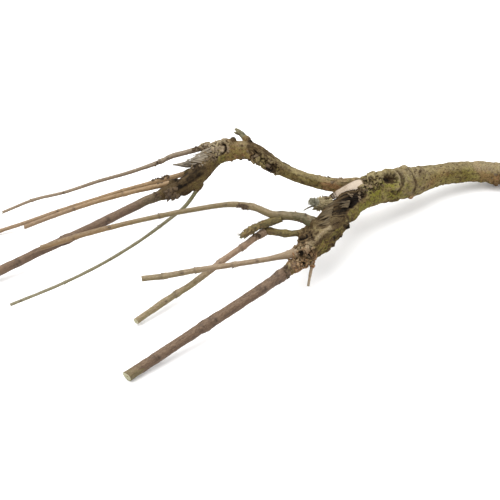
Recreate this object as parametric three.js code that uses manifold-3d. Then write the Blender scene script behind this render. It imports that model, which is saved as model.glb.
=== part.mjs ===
// A pruned lilac branch, bare of leaves and flowers, lying on a flat surface.
// Lengths are in millimetres, angles in degrees. +X runs towards the sawn end of the main limb,
// +Y towards the back and +Z up. The finished branch stands on z = 0 and is centred on the origin.
import * as THREE from "three";
import Module from "manifold-3d";

const wasm = await Module();
wasm.setup();

// Gap left where one stem meets another.
const CLEARANCE = 0.3;
// Size of the block that takes away what lies beyond a saw cut.
const SAW_REACH = 120;
// A stem rests on its lowest point within this distance of the end that carries it.
const FOOT_REACH = 40;

// Bark and lichen colours.
const COLOURS = {
  limb: { colour: 0x77704a, roughness: 0.92 },
  sawn: { colour: 0xcbb196, roughness: 0.8 },
  purple: { colour: 0x6f5a50, roughness: 0.75 },
  pink: { colour: 0x9a8069, roughness: 0.75 },
  tan: { colour: 0xa07c50, roughness: 0.75 },
  olive: { colour: 0x6b6244, roughness: 0.85 },
  thin: { colour: 0x8b7d64, roughness: 0.8 },
  dead: { colour: 0x7d766b, roughness: 0.95 },
  lichen: { colour: 0xa3a88a, roughness: 1.0 },
};

// Every stem is listed after the one it grows from.
//   on, at, aside   the stem it grows from, where along it (0 root, 1 tip), and how far off its
//                   centre line, as shares of its girth
//   length, girth   length along the stem and diameter at its root
//   course          how it runs from its root; only the shape counts, length sets the size
//   taper           [where along, diameter as a share of girth]
//   knots           [where along, which side, height, spread]; side 0 is up, 90 left of the run
//   joints          where the leaf joints swell it, as shares of its length
//   slant           how far the end face leans, and towards which side
const STEMS = [
  {
    name: "main_limb",
    bark: "limb",
    length: 302,
    girth: 20,
    sides: 20,
    step: 6,
    course: [
      [0, 0, 0], [-38, 4, 3], [-66, 1, 7], [-97, -11, 12], [-128, -30, 18], [-150, -42, 22],
      [-181, -69, 27], [-192, -83, 28], [-203, -100, 28], [-214, -120, 26], [-223, -132, 23],
      [-231, -141, 19], [-237, -146, 16],
    ],
    taper: [
      [0, 1], [0.33, 1], [0.44, 1.28], [0.55, 1.36], [0.66, 1.2], [0.8, 1.26], [0.87, 1.32],
      [0.95, 0.9], [1, 0.5],
    ],
    knots: [
      [40, 180, 2.5, 6], [143, 10, 3.5, 5], [136, 180, 4, 6], [152, 178, 3, 8], [160, -35, -3, 7],
      [172, 5, 3, 7], [184, 20, 4, 9], [222, -100, 2.2, 6], [240, -95, 2, 5], [254, -100, 1.8, 5],
      [271, 100, 8, 6.5],
    ],
    slant: [8, 0],
  },
  {
    name: "upper_arm",
    bark: "limb",
    on: "main_limb",
    at: 0.61,
    aside: [-0.25, 0.3, -0.05],
    length: 200,
    girth: 18,
    sides: 18,
    step: 5,
    course: [
      [0, 0, 0], [-17, 1, 3], [-33, 0, 6], [-59, 4, 12], [-77, 11, 17], [-93, 22, 22], [-106, 26, 25],
      [-122, 24, 26], [-135, 21, 23], [-145, 10, 18], [-153, 0, 14], [-164, -6, 9], [-174, -9, 5],
    ],
    taper: [
      [0, 1], [0.1, 0.74], [0.3, 0.64], [0.42, 0.72], [0.56, 0.9], [0.7, 1], [0.84, 1.02],
      [0.93, 0.8], [1, 0.6],
    ],
    knots: [
      [87, 178, 3, 6], [95, 150, 2, 6], [108, 5, 2, 3.5], [130, 5, 2, 3.5], [136, 20, 2.5, 8],
      [146, 35, 2, 6], [188, -150, 2.5, 5],
    ],
  },
  {
    name: "sawn_stub",
    bark: "sawn",
    on: "main_limb",
    at: 0.61,
    aside: [0.15, 0.15, 0.2],
    length: 42,
    girth: 13,
    sides: 18,
    step: 4,
    course: [[0, 0, 0], [-16, -9, 6], [-33, -22, 8]],
    taper: [[0, 1], [1, 0.85]],
    saw: { point: [-16, -12, 8], normal: [0.22, -0.66, 0.72] },
  },
  {
    name: "snapped_stub",
    bark: "dead",
    on: "upper_arm",
    at: 0.57,
    aside: [0, 0.17, 0.17],
    length: 19,
    girth: 8,
    sides: 10,
    step: 3,
    course: [[0, 0, 0], [-5, 7, 8], [-10, 10, 12], [-15, 11, 14]],
    taper: [[0, 1], [0.5, 0.68], [1, 0.5]],
    slant: [35, 0],
  },
  {
    name: "thick_cut_shoot",
    bark: "purple",
    on: "main_limb",
    at: 0.975,
    aside: [0, 0, 0],
    length: 183,
    girth: 9.7,
    sides: 12,
    step: 8,
    course: [[0, 0, 0], [-21, -20, -3], [-58, -50, -9], [-98, -80, -16], [-140, -114, -22]],
    taper: [[0, 1], [0.3, 0.92], [1, 0.89]],
    joints: [0.16, 0.24, 0.5, 0.52, 0.8],
    slant: [24, -90],
  },
  {
    name: "green_spur",
    bark: "olive",
    on: "main_limb",
    at: 0.875,
    aside: [-0.25, 0.15, 0.05],
    length: 46,
    girth: 6.5,
    sides: 10,
    step: 5,
    course: [[0, 0, 0], [-12, 3, -2], [-22, 3, -3], [-33, 6, -4], [-43, 11, -6]],
    taper: [[0, 1], [0.5, 0.87], [1, 1]],
    joints: [0.55],
  },
  {
    name: "arching_shoot",
    bark: "tan",
    on: "main_limb",
    at: 0.862,
    aside: [-0.25, 0.15, 0.3],
    length: 254,
    girth: 8.8,
    sides: 10,
    step: 7,
    course: [
      [0, 0, 0], [-13, 7, 3], [-27, 9, 4], [-40, 11, 4], [-48, 16, 4], [-55, 21, 4], [-63, 25, 3],
      [-78, 29, 1], [-109, 27, -3], [-137, 21, -5], [-164, 14, -7], [-198, 4, -10], [-240, -12, -14],
    ],
    taper: [[0, 1], [0.16, 0.75], [0.25, 0.66], [0.33, 0.52], [0.6, 0.47], [1, 0.54]],
    joints: [0.24, 0.33, 0.52, 0.68, 0.83],
    slant: [20, -60],
  },
  {
    name: "middle_cut_shoot",
    bark: "pink",
    on: "main_limb",
    at: 0.905,
    aside: [0.3, -0.3, 0.4],
    length: 159,
    girth: 6.8,
    sides: 10,
    step: 7,
    course: [
      [0, 0, 0], [-10, -4, -3], [-22, -8, -6], [-41, -13, -8], [-84, -19, -12], [-108, -21, -15],
      [-135, -25, -18], [-154, -26, -20],
    ],
    taper: [[0, 1], [0.14, 0.78], [0.27, 0.63], [1, 0.76]],
    joints: [0.42, 0.57, 0.8, 0.9],
  },
  {
    name: "crossing_shoot",
    bark: "pink",
    on: "green_spur",
    at: 0.95,
    aside: [0, 0, 0],
    length: 144,
    girth: 5.6,
    sides: 10,
    step: 7,
    course: [
      [0, 0, 0], [-10, -4, -3], [-20, -11, -7], [-35, -22, -11], [-65, -49, -18], [-83, -63, -21],
      [-110, -87, -25],
    ],
    taper: [[0, 1], [1, 0.97]],
    joints: [0.18, 0.38, 0.5, 0.72, 0.81],
    slant: [15, 0],
  },
  {
    name: "old_spur",
    bark: "olive",
    on: "arching_shoot",
    at: 0.12,
    aside: [0, -0.11, -0.23],
    length: 42,
    girth: 6.2,
    sides: 10,
    step: 4,
    course: [[0, 0, 0], [-12, -1, -3], [-23, -2, -7], [-30, -5, -9], [-37, -11, -11]],
    taper: [[0, 1], [1, 0.96]],
    joints: [0.35, 0.7],
  },
  {
    name: "dead_twig",
    bark: "thin",
    on: "main_limb",
    at: 0.93,
    aside: [0.1, -0.1, -0.3],
    length: 28,
    girth: 3.2,
    sides: 8,
    step: 4,
    course: [[0, 0, 0], [-1, -6, -4], [-3, -14, -8], [-5, -24, -13]],
    taper: [[0, 1], [0.4, 0.8], [1, 0.75]],
    joints: [0.55],
  },
  {
    name: "lichen_spur",
    bark: "lichen",
    on: "main_limb",
    at: 0.76,
    aside: [-0.2, 0.15, 0.2],
    length: 21,
    girth: 9,
    sides: 10,
    step: 3,
    course: [[0, 0, 0], [-11, 1, 3], [-19, -3, 4]],
    taper: [[0, 1], [0.7, 0.95], [1, 0.6]],
  },
  {
    name: "fine_twiglet",
    bark: "olive",
    on: "lichen_spur",
    at: 0.9,
    aside: [0, 0, 0],
    length: 12,
    girth: 1.8,
    sides: 6,
    step: 3,
    course: [[0, 0, 0], [-6, -2, -1], [-11, -5, -2]],
    taper: [[0, 1], [1, 0.6]],
  },
  {
    name: "dark_cut_shoot",
    bark: "purple",
    on: "upper_arm",
    at: 0.965,
    aside: [0, -0.06, 0],
    length: 204,
    girth: 9,
    sides: 12,
    step: 8,
    course: [[0, 0, 0], [-25, -8, -5], [-71, -34, -14], [-126, -62, -25], [-175, -91, -34]],
    taper: [[0, 1], [0.15, 0.92], [1, 0.86]],
    joints: [0.3, 0.5, 0.72],
    slant: [20, -90],
  },
  {
    name: "top_thin_shoot",
    bark: "thin",
    on: "upper_arm",
    at: 0.71,
    aside: [-0.17, 0.22, 0.28],
    length: 205,
    girth: 7,
    sides: 8,
    step: 7,
    course: [
      [0, 0, 0], [-11, 0, -1], [-25, -2, -4], [-40, -3, -8], [-50, -7, -11], [-79, -13, -19],
      [-108, -17, -26], [-138, -24, -33], [-166, -27, -39], [-194, -38, -45],
    ],
    taper: [[0, 1], [0.05, 0.82], [0.12, 0.7], [0.26, 0.58], [0.4, 0.5], [1, 0.4]],
    joints: [0.2, 0.22, 0.71, 0.85],
  },
  {
    name: "tan_back_shoot",
    bark: "tan",
    on: "upper_arm",
    at: 0.815,
    aside: [-0.17, 0.22, -0.17],
    length: 204,
    girth: 6.4,
    sides: 8,
    step: 8,
    course: [
      [0, 0, 0], [-14, -2, -4], [-29, -4, -8], [-64, -9, -16], [-101, -14, -26], [-129, -21, -32],
      [-167, -32, -40], [-193, -40, -44],
    ],
    taper: [[0, 1], [0.08, 0.8], [0.3, 0.64], [1, 0.57]],
    joints: [0.36, 0.66],
  },
  {
    name: "tan_front_shoot",
    bark: "tan",
    on: "upper_arm",
    at: 0.85,
    aside: [0, 0, 0],
    length: 165,
    girth: 6.4,
    sides: 8,
    step: 8,
    course: [
      [0, 0, 0], [-14, -3, -4], [-29, -6, -7], [-64, -10, -14], [-100, -16, -22], [-127, -23, -28],
      [-157, -34, -34],
    ],
    taper: [[0, 1], [0.09, 0.86], [0.4, 0.64], [1, 0.6]],
    joints: [0.45, 0.7],
    slant: [15, -90],
  },
  {
    name: "trailing_thin_shoot",
    bark: "thin",
    on: "upper_arm",
    at: 0.84,
    aside: [0.22, 0, -0.33],
    length: 214,
    girth: 6,
    sides: 8,
    step: 8,
    course: [
      [0, 0, 0], [-7, -12, -6], [-17, -26, -13], [-30, -37, -18], [-55, -60, -24], [-87, -86, -29],
      [-119, -108, -32], [-160, -130, -36],
    ],
    taper: [[0, 1], [0.07, 0.72], [0.15, 0.54], [0.3, 0.47], [1, 0.45]],
    joints: [0.5, 0.75, 0.95],
  },
  {
    name: "dead_spike",
    bark: "dead",
    on: "upper_arm",
    at: 0.755,
    aside: [-0.17, 0.11, -0.06],
    length: 33,
    girth: 9,
    sides: 8,
    step: 4,
    course: [[0, 0, 0], [-16, -6, -1], [-30, -7, -1]],
    taper: [[0, 1], [0.55, 0.72], [1, 0.16]],
  },
];

// A tuft of lichen sits on the lichen-covered spur.
const TUFT = {
  name: "lichen_tuft",
  bark: "lichen",
  on: "lichen_spur",
  at: 1,
  raise: 4.5,
  radii: [5, 4, 4.5],
};

// What carries the branch: the end of the limb, a shoot at the front and the lowest shoot at the left.
const FEET = [
  { end: "root", stems: ["main_limb"] },
  { end: "tip", stems: ["thick_cut_shoot", "crossing_shoot"] },
  { end: "tip", stems: ["tan_back_shoot", "dark_cut_shoot", "top_thin_shoot", "trailing_thin_shoot"] },
];

const UP = new THREE.Vector3(0, 0, 1);
const radians = THREE.MathUtils.degToRad;

function interpolate(pairs, x) {
  for (let i = 1; i < pairs.length; i += 1) {
    const [x0, y0] = pairs[i - 1];
    const [x1, y1] = pairs[i];
    if (x <= x1) {
      const t = (x - x0) / (x1 - x0);
      return y0 + (y1 - y0) * t * t * (3 - 2 * t);
    }
  }
  return pairs[pairs.length - 1][1];
}

// The centre line of a stem, set on its parent and brought to the stated length.
function centreLine(stem, lines) {
  const course = stem.course.map((p) => new THREE.Vector3(...p));
  const shape = new THREE.CatmullRomCurve3(course, false, "centripetal");
  const scale = stem.length / shape.getLength();
  const root = new THREE.Vector3();
  if (stem.on) {
    const parent = STEMS.find((other) => other.name === stem.on);
    const aside = new THREE.Vector3(...stem.aside).multiplyScalar(parent.girth);
    root.copy(lines[stem.on].getPointAt(stem.at)).add(aside);
  }
  const points = shape.points.map((p) => p.clone().multiplyScalar(scale).add(root));
  const line = new THREE.CatmullRomCurve3(points, false, "centripetal");
  line.arcLengthDivisions = 400;
  return line;
}

// The two directions across a stem: up, and to the left of its run.
function across(line, u) {
  const run = line.getTangentAt(u);
  const up = UP.clone().addScaledVector(run, -UP.dot(run)).normalize();
  const left = new THREE.Vector3().crossVectors(run, up);
  return { run, up, left };
}

function radiusAt(stem, u, side) {
  const along = u * stem.length;
  let radius = (stem.girth / 2) * interpolate(stem.taper, u);
  for (const joint of stem.joints ?? []) {
    const away = (along - joint * stem.length) / (stem.girth * 0.35);
    radius += stem.girth * 0.07 * Math.exp(-away * away);
  }
  for (const [where, knotSide, height, spread] of stem.knots ?? []) {
    const turn = radians(((side - knotSide + 540) % 360) - 180);
    const away = Math.hypot(along - where, turn * radius) / spread;
    radius += height * Math.exp(-away * away);
  }
  return radius;
}

// A closed skin of rings along the centre line, with a flat or slanted face at each end.
function stemGeometry(stem, line, extra) {
  const rings = Math.max(3, Math.round(stem.length / stem.step));
  const [lean, leanSide] = stem.slant ?? [0, 0];
  const positions = [];
  const index = [];
  for (let i = 0; i <= rings; i += 1) {
    const u = i / rings;
    const centre = line.getPointAt(u);
    const { run, up, left } = across(line, u);
    const ends = i === 0 ? -1 : Number(i === rings);
    centre.addScaledVector(run, ends * extra);
    for (let j = 0; j < stem.sides; j += 1) {
      const side = (360 * j) / stem.sides;
      const radius = radiusAt(stem, u, side) + extra;
      const point = centre.clone();
      point.addScaledVector(up, radius * Math.cos(radians(side)));
      point.addScaledVector(left, radius * Math.sin(radians(side)));
      if (i === rings) {
        const over = Math.tan(radians(lean)) * Math.cos(radians(side - leanSide));
        point.addScaledVector(run, radius * over);
      }
      positions.push(...point.toArray());
    }
  }
  const rootCentre = positions.length / 3;
  positions.push(...line.getPointAt(0).addScaledVector(across(line, 0).run, -extra).toArray());
  const tipCentre = rootCentre + 1;
  positions.push(...line.getPointAt(1).addScaledVector(across(line, 1).run, extra).toArray());
  for (let j = 0; j < stem.sides; j += 1) {
    const next = (j + 1) % stem.sides;
    for (let i = 0; i < rings; i += 1) {
      const a = i * stem.sides + j;
      const b = i * stem.sides + next;
      const c = a + stem.sides;
      const d = b + stem.sides;
      index.push(a, b, d, a, d, c);
    }
    const last = rings * stem.sides;
    index.push(rootCentre, next, j, tipCentre, last + j, last + next);
  }
  return { positions, index };
}

function solidOf({ positions, index }) {
  const vertProperties = new Float32Array(positions);
  const skin = { numProp: 3, vertProperties, triVerts: new Uint32Array(index) };
  return new wasm.Manifold(new wasm.Mesh(skin));
}

function solidFrom(geometry) {
  const skin = geometry.index ? geometry.toNonIndexed() : geometry;
  const places = new Map();
  const positions = [];
  const index = [];
  const source = skin.getAttribute("position");
  for (let i = 0; i < source.count; i += 1) {
    const point = new THREE.Vector3().fromBufferAttribute(source, i);
    const key = point.toArray().map((v) => v.toFixed(4)).join();
    if (!places.has(key)) {
      places.set(key, positions.length / 3);
      positions.push(...point.toArray());
    }
    index.push(places.get(key));
  }
  return solidOf({ positions, index });
}

// Everything on the open side of a saw cut.
function beyondCut(root, { point, normal }) {
  const facing = new THREE.Vector3(...normal).normalize();
  const block = new THREE.BoxGeometry(SAW_REACH, SAW_REACH, SAW_REACH);
  block.translate(0, 0, SAW_REACH / 2);
  block.applyQuaternion(new THREE.Quaternion().setFromUnitVectors(UP, facing));
  block.translate(...root.clone().add(new THREE.Vector3(...point)).toArray());
  return solidFrom(block);
}

function tuftGeometry(line, extra) {
  const blob = new THREE.IcosahedronGeometry(1, 3);
  const place = line.getPointAt(TUFT.at).addScaledVector(UP, TUFT.raise);
  const source = blob.getAttribute("position");
  for (let i = 0; i < source.count; i += 1) {
    const p = new THREE.Vector3().fromBufferAttribute(source, i).normalize();
    const rough = 1 + 0.12 * Math.sin(9 * p.x + 2) * Math.sin(8 * p.y) + 0.1 * Math.cos(11 * p.z + p.x);
    p.set(p.x * TUFT.radii[0], p.y * TUFT.radii[1], p.z * TUFT.radii[2]).multiplyScalar(rough);
    p.setLength(p.length() + extra).add(place);
    source.setXYZ(i, p.x, p.y, p.z);
  }
  return blob;
}

// The largest single body left after cutting.
function largest(solid) {
  const bodies = solid.decompose();
  bodies.sort((a, b) => b.volume() - a.volume());
  return bodies[0];
}

function meshOf(name, bark, solid) {
  const { vertProperties, triVerts, numProp } = solid.getMesh();
  const places = [];
  for (let i = 0; i < vertProperties.length; i += numProp) {
    places.push(vertProperties[i], vertProperties[i + 1], vertProperties[i + 2]);
  }
  const geometry = new THREE.BufferGeometry();
  geometry.setAttribute("position", new THREE.Float32BufferAttribute(places, 3));
  geometry.setIndex(Array.from(triVerts));
  geometry.computeVertexNormals();
  const { colour, roughness } = COLOURS[bark];
  const material = new THREE.MeshStandardMaterial({ color: colour, roughness, metalness: 0 });
  const mesh = new THREE.Mesh(geometry, material);
  mesh.name = name;
  return mesh;
}

// Each stem is cut back to leave a gap to every stem already in place.
function growBranch() {
  const lines = {};
  const taken = [];
  const solids = [];
  const settle = (name, bark, own, swollen) => {
    const crowding = taken.filter((other) => other.intersect(own).volume() > 0);
    const cut = crowding.reduce((solid, other) => solid.subtract(other), own);
    solids.push({ name, bark, solid: largest(cut) });
    taken.push(swollen);
  };
  for (const stem of STEMS) {
    const line = centreLine(stem, lines);
    lines[stem.name] = line;
    let own = solidOf(stemGeometry(stem, line, 0));
    let swollen = solidOf(stemGeometry(stem, line, CLEARANCE));
    if (stem.saw) {
      const beyond = beyondCut(line.getPointAt(0), stem.saw);
      own = own.subtract(beyond);
      swollen = swollen.subtract(beyond);
    }
    settle(stem.name, stem.bark, own, swollen);
  }
  const perch = lines[TUFT.on];
  settle(TUFT.name, TUFT.bark, solidFrom(tuftGeometry(perch, 0)), solidFrom(tuftGeometry(perch, CLEARANCE)));
  return { lines, solids };
}

// Lowest point of a foot, taken near the ends of the stems that can carry it.
function footPoint(foot, meshes, ends) {
  let lowest = null;
  for (const name of foot.stems) {
    const position = meshes[name].geometry.getAttribute("position");
    for (let i = 0; i < position.count; i += 1) {
      const point = new THREE.Vector3().fromBufferAttribute(position, i);
      const near = point.distanceTo(ends[name][foot.end]) < FOOT_REACH;
      if (near && (!lowest || point.z < lowest.z)) {
        lowest = point;
      }
    }
  }
  return lowest;
}

// Turns the branch until its three feet are level, then sets it on z = 0 over the origin.
function layDown(meshes, ends) {
  const all = Object.values(meshes);
  const move = (matrix) => {
    all.forEach((mesh) => mesh.geometry.applyMatrix4(matrix));
    const points = Object.values(ends).flatMap(({ root, tip }) => [root, tip]);
    points.forEach((point) => point.applyMatrix4(matrix));
  };
  for (let pass = 0; pass < 6; pass += 1) {
    const [a, b, c] = FEET.map((foot) => footPoint(foot, meshes, ends));
    const normal = new THREE.Vector3().crossVectors(b.clone().sub(a), c.clone().sub(a)).normalize();
    if (normal.z < 0) {
      normal.negate();
    }
    const turn = new THREE.Quaternion().setFromUnitVectors(normal, UP);
    move(new THREE.Matrix4().makeRotationFromQuaternion(turn));
  }
  const box = new THREE.Box3();
  all.forEach((mesh) => {
    mesh.geometry.computeBoundingBox();
    box.union(mesh.geometry.boundingBox);
  });
  const middle = box.getCenter(new THREE.Vector3());
  move(new THREE.Matrix4().makeTranslation(-middle.x, -middle.y, -box.min.z));
}

const { lines, solids } = growBranch();
const meshes = {};
const ends = {};
for (const { name, bark, solid } of solids) {
  meshes[name] = meshOf(name, bark, solid);
}
for (const [name, line] of Object.entries(lines)) {
  ends[name] = { root: line.getPointAt(0), tip: line.getPointAt(1) };
}
layDown(meshes, ends);

const branch = new THREE.Group();
branch.name = "lilac_branch";
branch.add(...Object.values(meshes));

export default branch;
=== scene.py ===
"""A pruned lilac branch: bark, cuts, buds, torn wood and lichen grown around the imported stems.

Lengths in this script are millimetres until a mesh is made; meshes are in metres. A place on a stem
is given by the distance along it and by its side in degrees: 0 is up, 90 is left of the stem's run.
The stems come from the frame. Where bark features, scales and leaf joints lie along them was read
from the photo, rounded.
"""
import math

import bmesh
import bpy
import numpy as np
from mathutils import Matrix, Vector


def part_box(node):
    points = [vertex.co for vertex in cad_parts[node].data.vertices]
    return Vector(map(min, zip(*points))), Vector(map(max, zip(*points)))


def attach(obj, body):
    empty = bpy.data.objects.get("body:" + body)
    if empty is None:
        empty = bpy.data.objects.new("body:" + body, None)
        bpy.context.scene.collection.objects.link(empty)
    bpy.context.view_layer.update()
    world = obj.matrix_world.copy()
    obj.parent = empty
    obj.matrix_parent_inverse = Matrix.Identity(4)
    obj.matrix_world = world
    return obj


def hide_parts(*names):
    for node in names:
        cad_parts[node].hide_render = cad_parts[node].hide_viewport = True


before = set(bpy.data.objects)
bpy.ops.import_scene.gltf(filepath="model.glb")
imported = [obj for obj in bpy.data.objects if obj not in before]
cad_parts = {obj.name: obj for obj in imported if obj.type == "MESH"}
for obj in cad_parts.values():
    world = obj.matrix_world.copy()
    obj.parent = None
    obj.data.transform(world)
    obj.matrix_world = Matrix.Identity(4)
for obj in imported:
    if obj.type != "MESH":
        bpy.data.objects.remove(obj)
bpy.context.view_layer.update()


MM = 0.001
# The step that spreads repeated things most evenly.
GOLDEN = 0.618
TURN = 2 * math.pi


# ------------------------------------------------------------------ numbers and noise

def unit(v):
    return v / np.maximum(np.linalg.norm(v, axis=-1, keepdims=True), 1e-9)


def rise(x, low, high):
    """0 below low, 1 above high, and smooth between them."""
    t = np.clip((x - low) / (high - low), 0, 1)
    return t * t * (3 - 2 * t)


def band(x, low, high, soft):
    """1 between low and high, falling to 0 over the distance soft outside them."""
    return rise(x, low - soft, low) * (1 - rise(x, high, high + soft))


def scatter(k, step, start=0.0):
    """A value from 0 to 1 that jumps about evenly as k counts up."""
    return (k * step + start) % 1


def curve_through(xs, ys, x):
    """A smooth curve through the values ys at xs, read at x."""
    slope = np.gradient(ys, xs, axis=0)
    i = np.clip(np.searchsorted(xs, x) - 1, 0, len(xs) - 2)
    gap = (xs[i + 1] - xs[i])[:, None]
    t = (x - xs[i])[:, None] / gap
    start = (2 * t**3 - 3 * t**2 + 1) * ys[i] + (t**3 - 2 * t**2 + t) * gap * slope[i]
    end = (3 * t**2 - 2 * t**3) * ys[i + 1] + (t**3 - t**2) * gap * slope[i + 1]
    return start + end


def dice(cell, seed):
    """Repeatable values from -1 to 1 for whole-number cells."""
    mixed = cell[..., 0] * 374761393 + cell[..., 1] * 668265263 + cell[..., 2] * 982451653
    mixed = (mixed + seed * 1274126177) & 0xFFFFFFFF
    mixed = ((mixed ^ (mixed >> 13)) * 1274126177) & 0xFFFFFFFF
    mixed = ((mixed ^ (mixed >> 15)) * 461845907) & 0xFFFFFFFF
    return (mixed ^ (mixed >> 16)) / 0x7FFFFFFF - 1.0


def noise(points, seed=0):
    """Smooth noise from -1 to 1 with features one unit across."""
    base = np.floor(points).astype(np.int64)
    part = points - base
    ease = part**3 * (part * (part * 6 - 15) + 10)
    total = np.zeros(points.shape[:-1])
    for corner in np.ndindex(2, 2, 2):
        weight = np.prod(np.where(corner, ease, 1 - ease), axis=-1)
        total += weight * dice(base + np.array(corner), seed)
    return total


def rough(points, octaves=4, seed=0):
    """Layers of noise, each half the size and height of the last."""
    total = np.zeros(points.shape[:-1])
    for k in range(octaves):
        total += 0.5**k * noise(points * 2**k + 17.3 * k, seed + k)
    return total


def ridges(points, octaves=3, seed=0):
    """Sharp crests between 0 and 1, as in split bark."""
    total = np.zeros(points.shape[:-1])
    for k in range(octaves):
        total += 0.5**k * (1 - np.abs(noise(points * 2**k + 9.1 * k, seed + k))) ** 3
    return total / 1.75


def plates(points, seed=0):
    """Cells like cracked bark: distance to the nearest crack, and a tone for each plate."""
    base = np.floor(points).astype(np.int64)
    nearest = np.full(points.shape[:-1], 9.0)
    second = nearest.copy()
    tone = np.zeros(points.shape[:-1])
    for step in np.ndindex(3, 3, 3):
        cell = base + np.array(step) - 1
        jitter = np.stack([dice(cell, seed + k) for k in range(3)], axis=-1)
        away = np.linalg.norm(points - cell - 0.5 - 0.42 * jitter, axis=-1)
        closer = away < nearest
        second = np.where(closer, nearest, np.minimum(second, away))
        tone = np.where(closer, dice(cell, seed + 3), tone)
        nearest = np.where(closer, away, nearest)
    return second - nearest, tone


# ------------------------------------------------------------------ stems read from the frame

def merged_mesh(node):
    """A CAD node's corners, each once, and the corners that each one is joined to."""
    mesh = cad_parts[node].data
    flat = np.empty(len(mesh.vertices) * 3)
    mesh.vertices.foreach_get("co", flat)
    points, same = np.unique(np.round(flat.reshape(-1, 3) / MM, 3), axis=0, return_inverse=True)
    mesh.calc_loop_triangles()
    corner = np.empty(len(mesh.loop_triangles) * 3, int)
    mesh.loop_triangles.foreach_get("vertices", corner)
    triangles = same.ravel()[corner].reshape(-1, 3)
    joined = [set() for _ in points]
    for a, b, c in triangles:
        joined[a] |= {b, c}
        joined[b] |= {a, c}
        joined[c] |= {a, b}
    return points, joined, triangles


def read_rings(node, sides, towards):
    """The whole rings of a stem, from its root to its tip."""
    points, joined, _ = merged_mesh(node)
    best = None
    for i, around in enumerate(joined):
        if len(around) == sides:
            off_centre = np.linalg.norm(points[i] - points[list(around)].mean(axis=0))
            score = points[i] @ np.array(towards) - 5 * off_centre
            if best is None or score > best[0]:
                best = (score, i)
    seen = {best[1]}
    level = {best[1]}
    rings = []
    while True:
        level = set().union(*[joined[i] for i in level]) - seen
        if len(level) != sides:
            break
        seen |= level
        rings.append(points[sorted(level)])
    return np.array(rings[::-1])


class Stem:
    """A stem's centre line and its radius all round, read from its CAD rings."""

    STEP = 0.5
    ANGLES = 72

    def __init__(self, node, sides=10, towards=(-1, 0, 0), bury=8.0, even=0.0):
        self.node = node
        rings = read_rings(node, sides, towards)
        centres = rings.mean(axis=1)
        gaps = np.linalg.norm(np.diff(centres, axis=0), axis=1)
        s = np.concatenate([[0], np.cumsum(gaps)])
        self.length = s[-1]
        self.bury = bury
        first = [0] if bury else []
        known = np.concatenate([[-bury] * len(first), s])
        buried = centres[first] + unit(centres[0] - centres[1]) * bury
        count = int(math.ceil((self.length + bury) / self.STEP)) + 1
        self.s = np.linspace(-bury, self.length, count)
        self.centre = curve_through(known, np.vstack([buried, centres]), self.s)
        self.run = unit(np.gradient(self.centre, self.s, axis=0))
        self.up = unit(np.array([0, 0, 1.0]) - self.run[:, 2:3] * self.run)
        self.left = np.cross(self.run, self.up)
        angles = np.linspace(0, TURN, self.ANGLES, endpoint=False)
        radii = []
        for ring, centre, along in zip(rings, centres, s):
            _, run, up, left = self.frame(along)
            spoke = ring - centre
            spoke = spoke - (spoke @ run)[:, None] * run
            angle = np.arctan2(spoke @ left, spoke @ up) % TURN
            radii.append(np.interp(angles, angle, np.linalg.norm(spoke, axis=1), period=TURN))
        radii = np.array(radii)
        self.radii = curve_through(known, np.vstack([radii[first], radii]), self.s)
        if even:
            self.radii += even * (self.evened(50.0) - self.radii)

    def evened(self, reach):
        """The radii averaged along the stem over a reach in millimetres."""
        half = int(reach / 2 / self.STEP)
        padded = np.pad(self.radii, ((half, half), (0, 0)), mode="edge")
        total = np.cumsum(np.vstack([padded[:1] * 0, padded]), axis=0)
        return (total[2 * half + 1:] - total[:-2 * half - 1]) / (2 * half + 1)

    def _row(self, s):
        return np.clip((np.asarray(s, float) + self.bury) / (self.s[1] - self.s[0]), 0, len(self.s) - 1.001)

    def frame(self, s):
        """Centre, run, up and left at a distance along the stem."""
        row = self._row(s)
        i = row.astype(int)
        t = (row - i)[..., None]
        mixed = [a[i] * (1 - t) + a[i + 1] * t for a in (self.centre, self.run, self.up, self.left)]
        return [mixed[0]] + [unit(v) for v in mixed[1:]]

    def radius(self, s, angle):
        row = self._row(s)
        col = (np.asarray(angle) % TURN) / TURN * self.ANGLES
        i = row.astype(int)
        j = col.astype(int) % self.ANGLES
        k = (j + 1) % self.ANGLES
        t = row - i
        u = col - np.floor(col)
        low = self.radii[i, j] * (1 - u) + self.radii[i, k] * u
        high = self.radii[i + 1, j] * (1 - u) + self.radii[i + 1, k] * u
        return low * (1 - t) + high * t

    def spot(self, s, side, out=0.0):
        """A point on the surface, the way out of it and the way along it."""
        angle = math.radians(side)
        centre, run, up, left = self.frame(s)
        outward = up * math.cos(angle) + left * math.sin(angle)
        return centre + outward * (float(self.radius(s, angle)) + out), outward, run

    def back(self, distance):
        """Distance along the stem of a place measured back from its tip."""
        return self.length - distance


LIMB = Stem("main_limb", 20, bury=0.0)
ARM = Stem("upper_arm", 18, bury=16)
THICK = Stem("thick_cut_shoot", 12, bury=12, even=0.92)
DARK = Stem("dark_cut_shoot", 12, bury=14, even=0.92)
GREEN = Stem("green_spur", bury=12)
ARCH = Stem("arching_shoot", bury=8, even=0.92)
MIDDLE = Stem("middle_cut_shoot", bury=16, even=0.92)
CROSS = Stem("crossing_shoot", bury=5, even=0.92)
OLD = Stem("old_spur", bury=12)
TWIG = Stem("dead_twig", 8, towards=(0, 0, -1), bury=6)
SNAPPED = Stem("snapped_stub", towards=(0, 0, 1), bury=6)
SPUR = Stem("lichen_spur", bury=8)
TWIGLET = Stem("fine_twiglet", 6, bury=3)
TOP = Stem("top_thin_shoot", 8, bury=10, even=0.92)
TAN_BACK = Stem("tan_back_shoot", 8, bury=12, even=0.92)
TAN_FRONT = Stem("tan_front_shoot", 8, bury=12, even=0.92)
TRAIL = Stem("trailing_thin_shoot", 8, bury=10, even=0.92)
SPIKE = Stem("dead_spike", 8, bury=10)


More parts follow.
